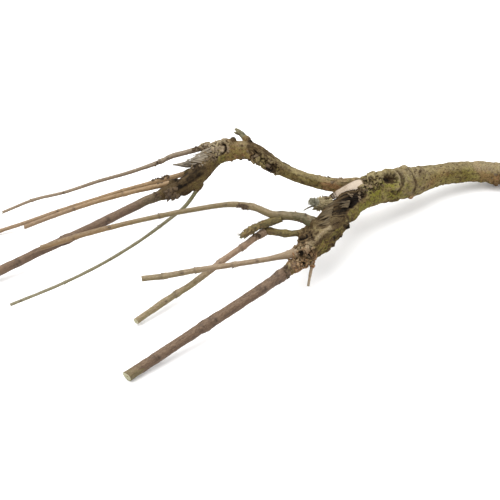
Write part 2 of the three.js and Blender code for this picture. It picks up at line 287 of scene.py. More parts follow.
def swell_foot(stem, share, reach):
    """Widens a shoot towards its root, as it does where it grows out of older wood."""
    stem.radii *= 1 + share * np.exp(-np.clip(stem.s, 0, None) / reach)[:, None]


swell_foot(MIDDLE, 0.8, 9)
swell_foot(ARCH, 0.3, 8)
swell_foot(CROSS, 0.25, 8)
swell_foot(DARK, 0.15, 6)


# ------------------------------------------------------------------ gathering meshes

class Skin:
    """Points, faces and painted masks gathered for one piece."""

    # crevice is painted shade, darker where the relief sinks; sky is how far a face looks up, and the looks
    # lighten upward faces with it as a painted highlight.
    MASKS = ("dark", "pale", "algae", "rust", "crevice", "sky", "along", "end")

    def __init__(self):
        self.points = []
        self.flows = []
        self.masks = {name: [] for name in self.MASKS}
        self.faces = []
        self.kinds = []
        self.count = 0

    def add(self, points, faces, flow=None, kind=0, **masks):
        points = np.asarray(points, float).reshape(-1, 3)
        size = len(points)
        self.points.append(points)
        self.flows.append(points if flow is None else np.asarray(flow, float).reshape(-1, 3))
        for name in self.MASKS:
            values = np.broadcast_to(np.asarray(masks.get(name, 0.0), float).ravel(), size)
            self.masks[name].append(values)
        for face in faces:
            self.faces.append([int(v) + self.count for v in face])
        kinds = kind if isinstance(kind, (list, np.ndarray)) else [kind] * len(faces)
        self.kinds.extend(int(k) for k in kinds)
        self.count += size

    def piece(self, name, looks, slot, *nodes):
        """Makes the mesh object and hides the CAD nodes that it stands for; slot is not used."""
        mesh = bpy.data.meshes.new(name)
        mesh.from_pydata((np.concatenate(self.points) * MM).tolist(), [], self.faces)
        for look in looks:
            mesh.materials.append(look)
        mesh.polygons.foreach_set("material_index", self.kinds)
        mesh.polygons.foreach_set("use_smooth", [True] * len(self.faces))
        flow = mesh.attributes.new("flow", "FLOAT_VECTOR", "POINT")
        flow.data.foreach_set("vector", np.concatenate(self.flows).ravel())
        for mask, values in self.masks.items():
            layer = mesh.attributes.new(mask, "FLOAT", "POINT")
            layer.data.foreach_set("value", np.concatenate(values))
        shell = bmesh.new()
        shell.from_mesh(mesh)
        bmesh.ops.recalc_face_normals(shell, faces=shell.faces)
        shell.to_mesh(mesh)
        shell.free()
        mesh.update()
        piece = bpy.data.objects.new(name, mesh)
        bpy.context.scene.collection.objects.link(piece)
        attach(piece, "root")
        if nodes:
            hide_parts(*nodes)
        return piece


def grid_faces(rows, columns, closed=True):
    """Quads between rows of points; a closed grid joins its last column to its first."""
    faces = []
    for i in range(rows - 1):
        for j in range(columns if closed else columns - 1):
            k = (j + 1) % columns
            a = i * columns
            faces.append((a + j, a + k, a + columns + k, a + columns + j))
    return faces


def fan(centre, first, columns, outward):
    """Triangles from a ring to a centre point."""
    faces = []
    for j in range(columns):
        k = (j + 1) % columns
        pair = (first + j, first + k) if outward else (first + k, first + j)
        faces.append((centre, *pair))
    return faces


# ------------------------------------------------------------------ stems as skins

# Rings of an end face: how far out each is and how far it sinks, as shares of the tip's radius.
CUT_RINGS = [(0.955, -0.03), (0.9, 0.0), (0.72, 0.012), (0.5, 0.02), (0.3, 0.03), (0.16, 0.09)]
# How many times deeper a snapped end is hollowed than a cut one.
SNAP_HOLLOW = 14


def bud_pairs(pairs, stem):
    """Leaf joints given back from the tip, as (distance along, side of the first bud)."""
    return [(stem.back(distance), side) for distance, side in pairs]


def shoot_relief(s, angle, radius, flow, pairs, seed, bark):
    """Height of a young shoot's bark over its smooth tube, and where it is dark or scarred."""
    height = radius * 0.07 * rough(flow / (9.0, 2.6, 2.6), 3, seed)
    height += bark * 0.16 * (ridges(flow / (7.0, 1.1, 1.1), 2, seed + 20) - 0.4)
    height += 0.03 * rough(flow / (0.9, 1.4, 1.4), 2, seed + 30)
    dark = np.zeros_like(height)
    pale = np.zeros_like(height)
    for where, side in pairs:
        here = (s - where) / radius
        height += radius * 0.03 * np.exp(-(here / 1.1) ** 2)
        height -= radius * 0.04 * np.exp(-((here - 1.3) / 0.35) ** 2)
        for turn in (0, 180):
            away = (angle - math.radians(side + turn) + math.pi) % TURN - math.pi
            cushion = np.exp(-((here + 0.35) / 0.75) ** 2 - (away / 0.6) ** 2)
            scar = np.exp(-((here + 0.1) / 0.3) ** 2 - (away / 0.42) ** 2)
            height += radius * 0.17 * cushion - radius * 0.06 * scar
            dark += 0.7 * scar
            pale += 0.35 * cushion
        dark += 0.5 * np.exp(-((here - 0.5) / 0.5) ** 2) * rise(noise(flow / 2.0, seed + 40), -0.5, 0.5)
    return height, dark, pale


def grow_shoot(skin, stem, pairs=(), seed=1, lean=(0, 0), end="cut", around=36, spacing=0.9, bark=0.5):
    """A stem's bark from its buried root to its tip, closed with a cut or a snapped end."""
    rows = int((stem.length + stem.bury) / spacing)
    s = np.linspace(-stem.bury, stem.length, rows)[:, None]
    angle = np.linspace(0, TURN, around, endpoint=False)[None, :]
    s, angle = np.broadcast_arrays(s, angle)
    radius = stem.radius(s, angle)
    flow = np.stack([s, radius * np.cos(angle), radius * np.sin(angle)], axis=-1)
    flow = flow + np.array([seed * 31.0, 0, 0])
    height, dark, pale = shoot_relief(s, angle, radius, flow, pairs, seed, bark)
    girth = float(radius[-1].mean())
    near_tip = rise(s, stem.length - 3 * girth, stem.length)
    over = math.tan(math.radians(lean[0])) * np.cos(angle - math.radians(lean[1])) * radius
    jag = 0.0
    if end == "snap":
        teeth = noise(np.stack([angle * 2.2, angle * 0, angle * 0 + seed], -1), seed)
        jag = near_tip**3 * girth * 0.9 * teeth
    shift = near_tip * over + jag
    centre, run, up, left = stem.frame(s)
    out = up * np.cos(angle)[..., None] + left * np.sin(angle)[..., None]
    points = centre + out * (radius + height)[..., None] + run * shift[..., None]
    low = radius * 0.07 * noise(flow / (9.0, 2.6, 2.6), seed)
    # Painted shade: darker where the bark sinks below its broad relief.
    crevice = np.clip((low - height) * 3.0, 0, 1)
    along = np.clip(s / stem.length, 0, 1)
    hollowing = SNAP_HOLLOW if end == "snap" else 0.0
    rings = [points.reshape(-1, 3)]
    ends = [np.ones(points.size // 3)]
    rim = points[-1]
    middle = rim.mean(axis=0)
    tip_run = run[-1, 0]
    for share, sink in CUT_RINGS:
        deep = -sink * girth * (hollowing * (1 - share) if hollowing else 1.0)
        rings.append(middle + (rim - middle) * share + tip_run * deep)
        ends.append(np.full(around, share))
    inner = len(CUT_RINGS)
    pith = middle - tip_run * girth * (0.9 if hollowing else 0.12)
    root = stem.centre[0]
    all_points = np.vstack(rings + [pith, root])
    faces = grid_faces(rows + inner, around)
    centre_index = (rows + inner) * around
    kinds = [0] * ((rows - 1) * around) + [0] * around + [1] * ((inner - 1) * around)
    faces += fan(centre_index, (rows + inner - 1) * around, around, True)
    kinds += [1] * around
    faces += fan(centre_index + 1, 0, around, False)
    kinds += [0] * around
    extra = inner * around + 2

    def filled(values, value):
        return np.concatenate([np.asarray(values, float).ravel(), np.full(extra, value)])

    flows = np.vstack([flow.reshape(-1, 3), all_points[rows * around:]])
    skin.add(
        all_points, faces, flows, kinds,
        dark=filled(dark, 0.0), pale=filled(pale, 0.0), crevice=filled(crevice, 0.0),
        sky=filled(out[..., 2], 0.5), along=filled(along, 1.0),
        end=np.concatenate(ends + [[0.0, 1.0]]),
    )


def scale_shell(skin, root, out, along, length, width, lift, kind=0, curl=0.6, **masks):
    """A small pointed scale with some thickness, rooted at a point and leaning away from the stem."""
    rows, columns = 7, 7
    aside = unit(np.cross(out, along))
    u = np.linspace(0, 1, rows)[:, None]
    v = np.linspace(-1, 1, columns)[None, :]
    half = width * 0.5 * np.sqrt(np.clip(1 - (1.9 * u - 0.9) ** 2 * np.where(u > 0.47, 1, 0.35), 0.02, 1))
    rises = lift * length * (u**1.4)
    arch = -curl * width * 0.5 * v**2 * (1 - 0.5 * u)
    face = (root + along * (u * length)[..., None] + aside * (v * half)[..., None]
            + out * (rises + arch)[..., None])
    thick = out * (0.14 * width * (1 - 0.6 * u) * (1 - 0.6 * v**2))[..., None]
    front = (face + thick).reshape(-1, 3)
    rear = (face - thick * 0.6).reshape(-1, 3)
    size = rows * columns
    faces = grid_faces(rows, columns, closed=False)
    back_faces = [tuple(size + k for k in reversed(face)) for face in faces]
    edge = list(range(columns))
    edge += [i * columns + columns - 1 for i in range(1, rows)]
    edge += [(rows - 1) * columns + j for j in range(columns - 2, -1, -1)]
    edge += [i * columns for i in range(rows - 2, 0, -1)]
    sides = []
    for a, b in zip(edge, edge[1:] + edge[:1]):
        sides.append((b, a, size + a, size + b))
    skin.add(np.vstack([front, rear]), faces + back_faces + sides, None, kind, **masks)


def bud(skin, stem, s, side, length, kind=2, lean=0.45, **masks):
    """A winter bud: pairs of pointed scales round a core, each pair a quarter turn from the last."""
    point, out, run = stem.spot(s, side)
    axis = unit(run + out * lean)
    width = length * 0.62
    base = point - out * 0.25 * width
    first = unit(out - axis * (out @ axis))
    second = np.cross(axis, first)
    rows, columns = 8, 10
    u = np.linspace(0, 1, rows)[:, None]
    angle = np.linspace(0, TURN, columns, endpoint=False)[None, :]
    fat = 0.42 * width * np.sin(np.clip(0.35 + u * 2.75, 0, math.pi)) ** 0.8
    core = base + axis * (u * length)[..., None]
    core = core + (first * np.cos(angle)[..., None] + second * np.sin(angle)[..., None]) * fat[..., None]
    core = core.reshape(-1, 3)
    tips = np.vstack([core, base - axis * 0.1, base + axis * length * 1.04])
    faces = grid_faces(rows, columns)
    faces += fan(rows * columns + 1, (rows - 1) * columns, columns, True)
    faces += fan(rows * columns, 0, columns, False)
    skin.add(tips, faces, None, kind, **masks)
    for level in range(3):
        for turn in (0, 1):
            angle = math.pi * turn + (math.pi / 2) * (level % 2)
            way = first * math.cos(angle) + second * math.sin(angle)
            size = length * (0.55 + 0.15 * level)
            root = base + axis * (0.04 + 0.1 * level) * length + way * width * 0.26
            scale_shell(skin, root, way, axis, size, width * (0.95 - 0.1 * level), 0.04, kind, 0.75,
                        **masks)


def bud_pair(skin, stem, s, side, length, seed, kind=2):
    """Two buds on opposite sides of a leaf joint, never quite alike."""
    for turn in (0, 180):
        size = length * (0.85 + 0.2 * math.sin(seed * 1.7 + turn))
        bud(skin, stem, s, side + turn, size, kind, lean=0.3 + 0.12 * math.sin(seed + turn), dark=0.3)


def fibre(skin, course, radius, sides=5, kind=0, **masks):
    """A thin closed tube through a few points, thinning to its tip."""
    course = np.asarray(course, float)
    run = unit(np.gradient(course, axis=0))
    helper = np.where(np.abs(run[:, 2:3]) > 0.9, [[1.0, 0, 0]], [[0, 0, 1.0]])
    first = unit(np.cross(run, helper))
    second = np.cross(run, first)
    rows = len(course)
    shrink = np.linspace(1, 0.35, rows)[:, None] * radius
    angle = np.linspace(0, TURN, sides, endpoint=False)
    rings = (course[:, None, :] + first[:, None, :] * (np.cos(angle) * shrink)[..., None]
             + second[:, None, :] * (np.sin(angle) * shrink)[..., None])
    points = np.vstack([rings.reshape(-1, 3), course[0], course[-1] + run[-1] * radius * 0.3])
    faces = [face[::-1] for face in grid_faces(rows, sides)]
    faces += fan(rows * sides, 0, sides, True)
    faces += fan(rows * sides + 1, (rows - 1) * sides, sides, False)
    skin.add(points, faces, None, kind, **masks)


# ------------------------------------------------------------------ the old wood, fused into one skin

def plain_tube(skin, stem, start, end, share, around=28, spacing=1.5):
    """A closed tube along part of a stem; share gives its radius as a share of the stem's."""
    rows = max(4, int((end - start) / spacing))
    s = np.linspace(start, end, rows)[:, None]
    angle = np.linspace(0, TURN, around, endpoint=False)[None, :]
    s, angle = np.broadcast_arrays(s, angle)
    centre, _, up, left = stem.frame(s)
    radius = stem.radius(s, angle) * share((s - start) / (end - start))
    out = up * np.cos(angle)[..., None] + left * np.sin(angle)[..., None]
    points = (centre + out * radius[..., None]).reshape(-1, 3)
    faces = grid_faces(rows, around)
    faces += fan(rows * around, 0, around, False)
    faces += fan(rows * around + 1, (rows - 1) * around, around, True)
    skin.add(np.vstack([points, centre[0, 0], centre[-1, 0]]), faces)


def lump(skin, stem, s, side, along, across, high):
    """A rounded knob set into the surface of a stem."""
    point, out, run = stem.spot(s, side, -0.35 * high)
    aside = np.cross(out, run)
    rows, columns = 10, 14
    tilt = np.linspace(0.02, math.pi - 0.02, rows)[:, None]
    turn = np.linspace(0, TURN, columns, endpoint=False)[None, :]
    x, y, z = np.sin(tilt) * np.cos(turn), np.sin(tilt) * np.sin(turn), np.cos(tilt) + 0 * turn
    ball = (point + run * (x * along)[..., None] + aside * (y * across)[..., None]
            + out * (z * high)[..., None])
    faces = grid_faces(rows, columns)
    faces += fan(rows * columns, 0, columns, False)
    faces += fan(rows * columns + 1, (rows - 1) * columns, columns, True)
    skin.add(np.vstack([ball.reshape(-1, 3), point + out * high, point - out * high]), faces)


def fused(skin, voxel):
    """Fuses overlapping closed shells into one fine skin; gives its points and quads."""
    mesh = bpy.data.meshes.new("shells")
    mesh.from_pydata((np.concatenate(skin.points) * MM).tolist(), [], skin.faces)
    body = bpy.data.objects.new("shells", mesh)
    bpy.context.scene.collection.objects.link(body)
    remesh = body.modifiers.new("voxels", "REMESH")
    remesh.mode = "VOXEL"
    remesh.voxel_size = voxel * MM
    fine = bpy.data.meshes.new_from_object(body.evaluated_get(bpy.context.evaluated_depsgraph_get()))
    points = np.empty(len(fine.vertices) * 3)
    fine.vertices.foreach_get("co", points)
    corner = np.empty(len(fine.loops), int)
    fine.loops.foreach_get("vertex_index", corner)
    bpy.data.objects.remove(body)
    bpy.data.meshes.remove(fine)
    bpy.data.meshes.remove(mesh)
    return largest_island(points.reshape(-1, 3) / MM, corner.reshape(-1, 4))


def edges_of(quads):
    pairs = np.concatenate([quads[:, [k, (k + 1) % 4]] for k in range(4)])
    return np.unique(np.sort(pairs, axis=1), axis=0)


def largest_island(points, quads):
    a, b = edges_of(quads).T
    label = np.arange(len(points))
    while True:
        low = np.minimum(label[a], label[b])
        fresh = label.copy()
        np.minimum.at(fresh, label[a], low)
        np.minimum.at(fresh, label[b], low)
        fresh = fresh[fresh]
        if np.array_equal(fresh, label):
            break
        label = fresh
    main = np.bincount(label).argmax()
    keep = label == main
    renumber = np.cumsum(keep) - 1
    return points[keep], renumber[quads[keep[quads[:, 0]]]]


def relaxed(values, edges, rounds):
    """Averages each value with its neighbours' a number of times."""
    a, b = edges.T
    values = values.reshape(len(values), -1)
    degree = np.bincount(edges.ravel(), minlength=len(values))[:, None]
    for _ in range(rounds):
        total = np.empty_like(values)
        for k in range(values.shape[1]):
            total[:, k] = np.bincount(a, values[b, k], len(values))
            total[:, k] += np.bincount(b, values[a, k], len(values))
        values = 0.5 * values + 0.5 * total / degree
    return values


def outward(points, quads):
    """The way out at each point."""
    across = np.cross(points[quads[:, 2]] - points[quads[:, 0]], points[quads[:, 3]] - points[quads[:, 1]])
    total = np.zeros_like(points)
    for k in range(3):
        for c in range(4):
            total[:, k] += np.bincount(quads[:, c], across[:, k], len(points))
    return unit(total)


def located(points, stem):
    """Distance along a stem, side, radius there, and height above it; past its ends height grows."""
    s = np.empty(len(points))
    angle = np.empty(len(points))
    away = np.empty(len(points))
    for first in range(0, len(points), 8000):
        part = points[first:first + 8000]
        gap = (part**2).sum(1)[:, None] + (stem.centre**2).sum(1)[None, :] - 2 * part @ stem.centre.T
        i = gap.argmin(axis=1)
        spoke = part - stem.centre[i]
        ahead = (spoke * stem.run[i]).sum(1)
        s[first:first + 8000] = stem.s[i] + ahead
        spoke = spoke - stem.run[i] * ahead[:, None]
        angle[first:first + 8000] = np.arctan2((spoke * stem.left[i]).sum(1), (spoke * stem.up[i]).sum(1))
        away[first:first + 8000] = np.linalg.norm(spoke, axis=1)
    radius = stem.radius(s, angle)
    beyond = np.clip(np.maximum(stem.s[0] - s, s - stem.s[-1]), 0, None)
    return s, angle, radius, away - radius + beyond


def settled(place, edges, rounds):
    """Evens out places on a stem where they would jump from point to point, as at a bend."""
    s, angle, radius, height = place
    evened = relaxed(np.stack([s, np.cos(angle), np.sin(angle), radius], axis=-1), edges, rounds)
    return evened[:, 0], np.arctan2(evened[:, 2], evened[:, 1]), evened[:, 3], height


class Place:
    """Where each point of a skin lies on its stem, with windows for local features."""

    def __init__(self, s, angle, radius, seed):
        self.s = s
        self.angle = (angle + math.pi) % TURN - math.pi
        self.side = np.degrees(self.angle)
        self.radius = radius
        self.flow = np.stack([s + seed * 400, radius * np.cos(angle), radius * np.sin(angle)], axis=-1)

    def offset(self, s0, side0):
        """Distances along and across from a place on the stem."""
        turn = (self.angle - math.radians(side0) + math.pi) % TURN - math.pi
        return self.s - s0, turn * self.radius

    def near(self, s0, side0, along, across):
        x, y = self.offset(s0, side0)
        return np.exp(-((x / along) ** 2) - (y / across) ** 2)

    def window(self, low, high, soft, side_low=-181, side_high=181, side_soft=15):
        """1 between two distances and two sides; sides may run past 180."""
        middle = (side_low + side_high) / 2
        half = (side_high - side_low) / 2
        turned = np.abs((self.side - middle + 180) % 360 - 180)
        return band(self.s, low, high, soft) * (1 - rise(turned, half, half + side_soft))


def common_relief(at, wrinkled, split):
    """Bark relief found all over: lumps, ring wrinkles and splits along the grain."""
    height = 0.55 * rough(at.flow / 11.0, 3, 3)
    height += 0.38 * rough(at.flow / 3.4, 3, 8)
    height += 0.42 * wrinkled * (ridges(at.flow / (2.3, 15.0, 15.0), 2, 12) - 0.45)
    crack = ridges(at.flow / (11.0, 2.1, 2.1), 2, 15)
    height -= 0.75 * split * rise(crack, 0.5, 0.95)
    height += 0.15 * noise(at.flow / 1.1, 19)
    return height, split * rise(crack, 0.55, 0.95)


def hollow(at, s0, side0, along, across, depth):
    """A pit with a clear edge, and how deep inside it each point is."""
    x, y = at.offset(s0, side0)
    ragged = 1 + 0.22 * noise(at.flow / 1.6, 5)
    inside = 1 - rise(np.hypot(x / along, y / across) * ragged, 0.45, 1.1)
    return -depth * inside, inside


def callus(at, s0, side0, reach, width, height, facing, spread=1.1):
    """A curved ridge of healed bark at a distance from a wound, strongest towards one way."""
    x, y = at.offset(s0, side0)
    away = np.hypot(x, y)
    way = np.arctan2(y, x)
    turned = np.abs((way - math.radians(facing) + math.pi) % TURN - math.pi)
    strength = 1 - rise(turned, spread, spread + 0.9)
    return height * strength * np.exp(-(((away - reach) / width) ** 2))


def crease(at, start, end, width):
    """1 along a line between two places on the stem, falling away on both sides of it."""
    x, y = at.offset(*start)
    dx = end[0] - start[0]
    dy = math.radians(end[1] - start[1]) * at.radius
    t = np.clip((x * dx + y * dy) / (dx**2 + dy**2), 0, 1)
    return np.exp(-((x - t * dx) ** 2 + (y - t * dy) ** 2) / width**2)


def plated(at, window, size, height, seed):
    """Chunky cracked plates: relief, cracks and the tone of each plate."""
    relief = np.zeros_like(at.s)
    crack = np.zeros_like(at.s)
    tone = np.zeros_like(at.s)
    inside = window > 0.01
    flow = at.flow[inside]
    warp = 0.5 * np.stack([rough(flow / 3.4, 2, seed + k) for k in range(3)], axis=-1)
    gap, shade = plates(flow / (1.7 * size, size, size) + warp, seed)
    open_crack = rise(rough(flow / 3.0, 2, seed + 7), -0.5, 0.5)
    relief[inside] = window[inside] * height * (rise(gap, 0.0, 0.3) - 0.65 + 0.5 * shade)
    crack[inside] = window[inside] * (1 - rise(gap, 0.0, 0.16)) * open_crack
    tone[inside] = window[inside] * shade
    return relief, crack, tone


def limb_bark(at):
    """The main limb: wrinkled base, ring collar, wound, plates, pit, torn wood and frayed end."""
    paint = {name: np.zeros_like(at.s) for name in ("dark", "pale", "algae", "rust")}
    wrinkled = 0.35 + 0.65 * at.window(24, 66, 10) + 0.7 * at.window(236, 288, 8, -120, -30)
    split = 0.3 * at.window(80, 135, 15) + 0.6 * at.window(176, 300, 10) + 0.12
    height, cracks = common_relief(at, wrinkled, split)
    paint["dark"] += 0.7 * cracks
    paint["rust"] += 0.55 * at.window(0, 62, 8) * rise(rough(at.flow / 9.0, 3, 41), -0.5, 0.6)
    # Paler on top near the sawn end: partly grey bark, partly a painted highlight.
    paint["pale"] += 0.5 * at.window(18, 62, 8, -40, 60, 30)

    # Old bud knots near the base and specks beyond them.
    knots = ((40, -112, 3.4), (36, -62, 3.0), (31, -90, 3.2), (64, -128, 1.8), (30, 20, 2.2))
    for s0, side0, size in knots:
        knot = at.near(s0, side0, size, size)
        height += 1.1 * knot * (1 + 0.9 * noise(at.flow / 1.3, 51))
        paint["dark"] += 1.0 * knot * (0.8 + 0.4 * noise(at.flow / 1.8, 52))
        paint["rust"] += 0.8 * at.near(s0, side0, size + 1.5, size + 1.5)
    paint["rust"] += 0.8 * at.near(120, -84, 9, 5) + 0.5 * at.near(104, -40, 8, 5)
    wrinkles = ridges(at.flow / (2.6, 12.0, 12.0), 2, 57) * at.window(124, 141, 3)
    height += 0.9 * wrinkles
    patchy = rise(noise(at.flow / 6.0, 58), -0.4, 0.4)
    paint["dark"] += 0.45 * at.window(124, 141, 3) * (1 - rise(wrinkles, 0.15, 0.5)) * patchy
    specks = rise(noise(at.flow / (2.6, 1.6, 1.6), 55), 0.45, 0.75) * at.window(84, 136, 10)
    height -= 0.3 * specks
    paint["dark"] += 0.6 * specks

    # The ring collar, with a peak on top and a groove on its base side.
    ring = 146 + 2.2 * np.sin(at.angle + 0.8) + 1.3 * noise(at.flow / 5.0, 61)
    height += 1.5 * np.exp(-(((at.s - ring) / 2.3) ** 2)) * (0.75 + 0.35 * np.cos(at.angle + 0.9))
    groove = np.exp(-(((at.s - ring + 5.5) / 1.2) ** 2))
    height -= 0.7 * groove
    paint["dark"] += 0.35 * groove
    height += 1.4 * at.near(144, 8, 3.4, 3.6)
    paint["pale"] += 0.4 * at.near(145, 10, 4, 5) + 0.25 * at.window(124, 150, 6)
    for s0, side0, size in ((141.4, -118, 1.9), (138, -150, 1.6)):
        height += 1.5 * at.near(s0, side0, size, size)
        paint["rust"] += 0.9 * at.near(s0, side0, 2.4, 2.4)

    # The wound with its callus rims, and the crack that runs down from it.
    pit, inside = hollow(at, 166.5, -22, 10.0, 6.6, 5.0)
    height += pit
    paint["dark"] += 0.55 * inside + 0.9 * at.near(167, -20, 6, 3.6)
    height += callus(at, 166, -23, 10.0, 2.0, 3.0, 190, 1.5)
    height += callus(at, 164, -26, 16.0, 1.6, 1.3, 200, 1.2)
    paint["pale"] += 0.5 * callus(at, 166, -23, 10.6, 1.6, 1.0, 190, 1.2)
    paint["dark"] += 0.5 * callus(at, 165, -24, 13.4, 1.2, 1.0, 195, 1.2)
    crack = crease(at, (159, -58), (168, -126), 1.3)
    height -= 1.4 * crack
    height += 1.3 * crease(at, (163, -70), (172, -130), 2.2)
    paint["dark"] += 1.1 * crack + 0.8 * crease(at, (158, -128), (176, -134), 1.6)

    # Chunky plates on top between the wound and the fork.
    relief, crack, tone = plated(at, at.window(178, 206, 4, -42, 80), 5.6, 2.4, 71)
    height += relief
    paint["dark"] += 0.9 * crack + 0.45 * np.clip(-tone, 0, 1)
    paint["pale"] += 0.3 * np.clip(tone, 0, 1)

    # Algae on the side that faced the light.
    green = at.window(148, 218, 6, -128, -34, 18) + 0.85 * at.window(226, 292, 6, -140, -48, 14)
    green += 0.45 * at.window(66, 130, 14, -150, -40, 40)
    paint["algae"] += green * rise(rough(at.flow / 6.0, 3, 81), -0.75, 0.35)

    # The deep pit in the fork and the torn wood that runs down from it.
    pit, inside = hollow(at, 224, -33, 6.0, 4.2, 3.8)
    height += pit
    paint["dark"] += (1.6 * inside + 0.9 * at.near(221, -30, 8, 6) + 0.35 * at.near(213, -32, 8, 5)
                      + 0.3 * at.near(206, -48, 5, 3))
    torn = at.window(204, 264, 5, -46, 66, 12)
    _, across = at.offset(230, 0)
    skew = across - 0.65 * (at.s - 230) + 1.4 * noise(at.flow / 9.0, 93)
    folds = np.stack([at.s / 30.0, skew / 3.3, 0 * at.s], axis=-1)
    fibres = np.stack([at.s / 14.0, skew / 1.1, 0 * at.s], axis=-1)
    valley = (1 - np.abs(noise(folds, 91))) ** 5
    height += torn * (1.0 * noise(folds * 0.5, 92) - 1.5 * valley - 0.25 * np.abs(noise(fibres, 94)))
    paint["dark"] += torn * (0.55 + 0.5 * valley + 0.4 * rise(noise(fibres, 94), 0.0, 0.6))
    paint["dark"] += 0.2 * torn * at.near(222, 10, 14, 6) + 0.15 * torn * at.near(236, -30, 8, 4)
    paint["rust"] += 0.7 * torn * rise(noise(folds * 0.8, 95), -0.3, 0.5)
    paint["pale"] += 0.35 * torn * rise(noise(fibres * 0.7, 96), 0.2, 0.7) * rise(at.s, 235, 250)
    paint["algae"] *= 1 - torn
    darkest = 1.5 - 0.3 * torn + 1.2 * at.near(221, -30, 9, 7)
    paint["dark"] = np.minimum(paint["dark"], darkest)

    # Small dark knobs down the outer side of the lower arm.
    knobs = ((233, -88, 2.6), (242, -96, 2.2), (248, -84, 2.6), (257, -92, 2.0), (266, -100, 1.8))
    for s0, side0, size in knobs:
        knob = at.near(s0, side0, size, size)
        height += 1.7 * knob
        paint["dark"] += 0.85 * knob
    for s0, side0 in ((238, -76), (263, -80)):
        height -= 0.8 * at.near(s0, side0, 1.4, 3)
        paint["dark"] += 0.8 * at.near(s0, side0, 1.8, 3)

    # Muscle-like ridges that run round the lower arm.
    arm = at.window(240, 292, 8) * (1 - torn)
    paint["dark"] += 0.28 * arm * (1 - at.window(286, 310, 4))
    paint["rust"] += 0.35 * arm * rise(noise(at.flow / 5.0, 97), -0.2, 0.5)
    twisted = np.stack([(at.s + 0.9 * across) / 9.0, (across - 0.5 * at.s) / 5.0, 0 * at.s], -1)
    ropes = ridges(twisted, 2, 101)
    height += arm * 1.6 * (ropes - 0.4)
    paint["dark"] += arm * 0.45 * (1 - rise(ropes, 0.12, 0.4))

    # The foot of the middle shoot, grown into the arm as a long ridge.
    foot = crease(at, (294, -10), (262, -30), 2.4)
    height += 3.0 * foot
    paint["pale"] += 0.55 * foot
    paint["dark"] *= 1 - 0.8 * foot
    paint["algae"] *= 1 - 0.7 * foot

    # The knot with a spiral in it.
    x, y = at.offset(280, 42)
    away = np.hypot(x, y)
    spiral = np.sin(TURN * away / 3.6 + np.arctan2(y, x))
    knot = np.exp(-((away / 7.5) ** 2))
    height += knot * (0.8 + 1.25 * spiral)
    paint["dark"] += knot * (0.25 + 1.1 * np.clip(-spiral, 0, 1))
    paint["dark"] += 0.9 * callus(at, 280, 42, 8.2, 1.2, 1.0, 0, 1.4)
    paint["rust"] += 0.9 * knot

    # The frayed reddish collar where the thick shoot leaves.
    frayed = at.window(287, 306, 3) * (1 - at.near(280, 45, 9, 8))
    relief, crack, tone = plated(at, frayed, 3.6, 2.0, 111)
    height += relief
    paint["dark"] += 0.5 * crack + 0.06 * frayed * np.clip(-tone, 0, 1)
    paint["rust"] += 1.3 * frayed
    paint["pale"] += 0.25 * frayed
    for s0, side0 in ((294, -12), (291, -48), (297, -70)):
        pit, inside = hollow(at, s0, side0, 2.0, 1.6, 2.0)
        height += pit
        paint["dark"] += 1.3 * inside
    return height, paint


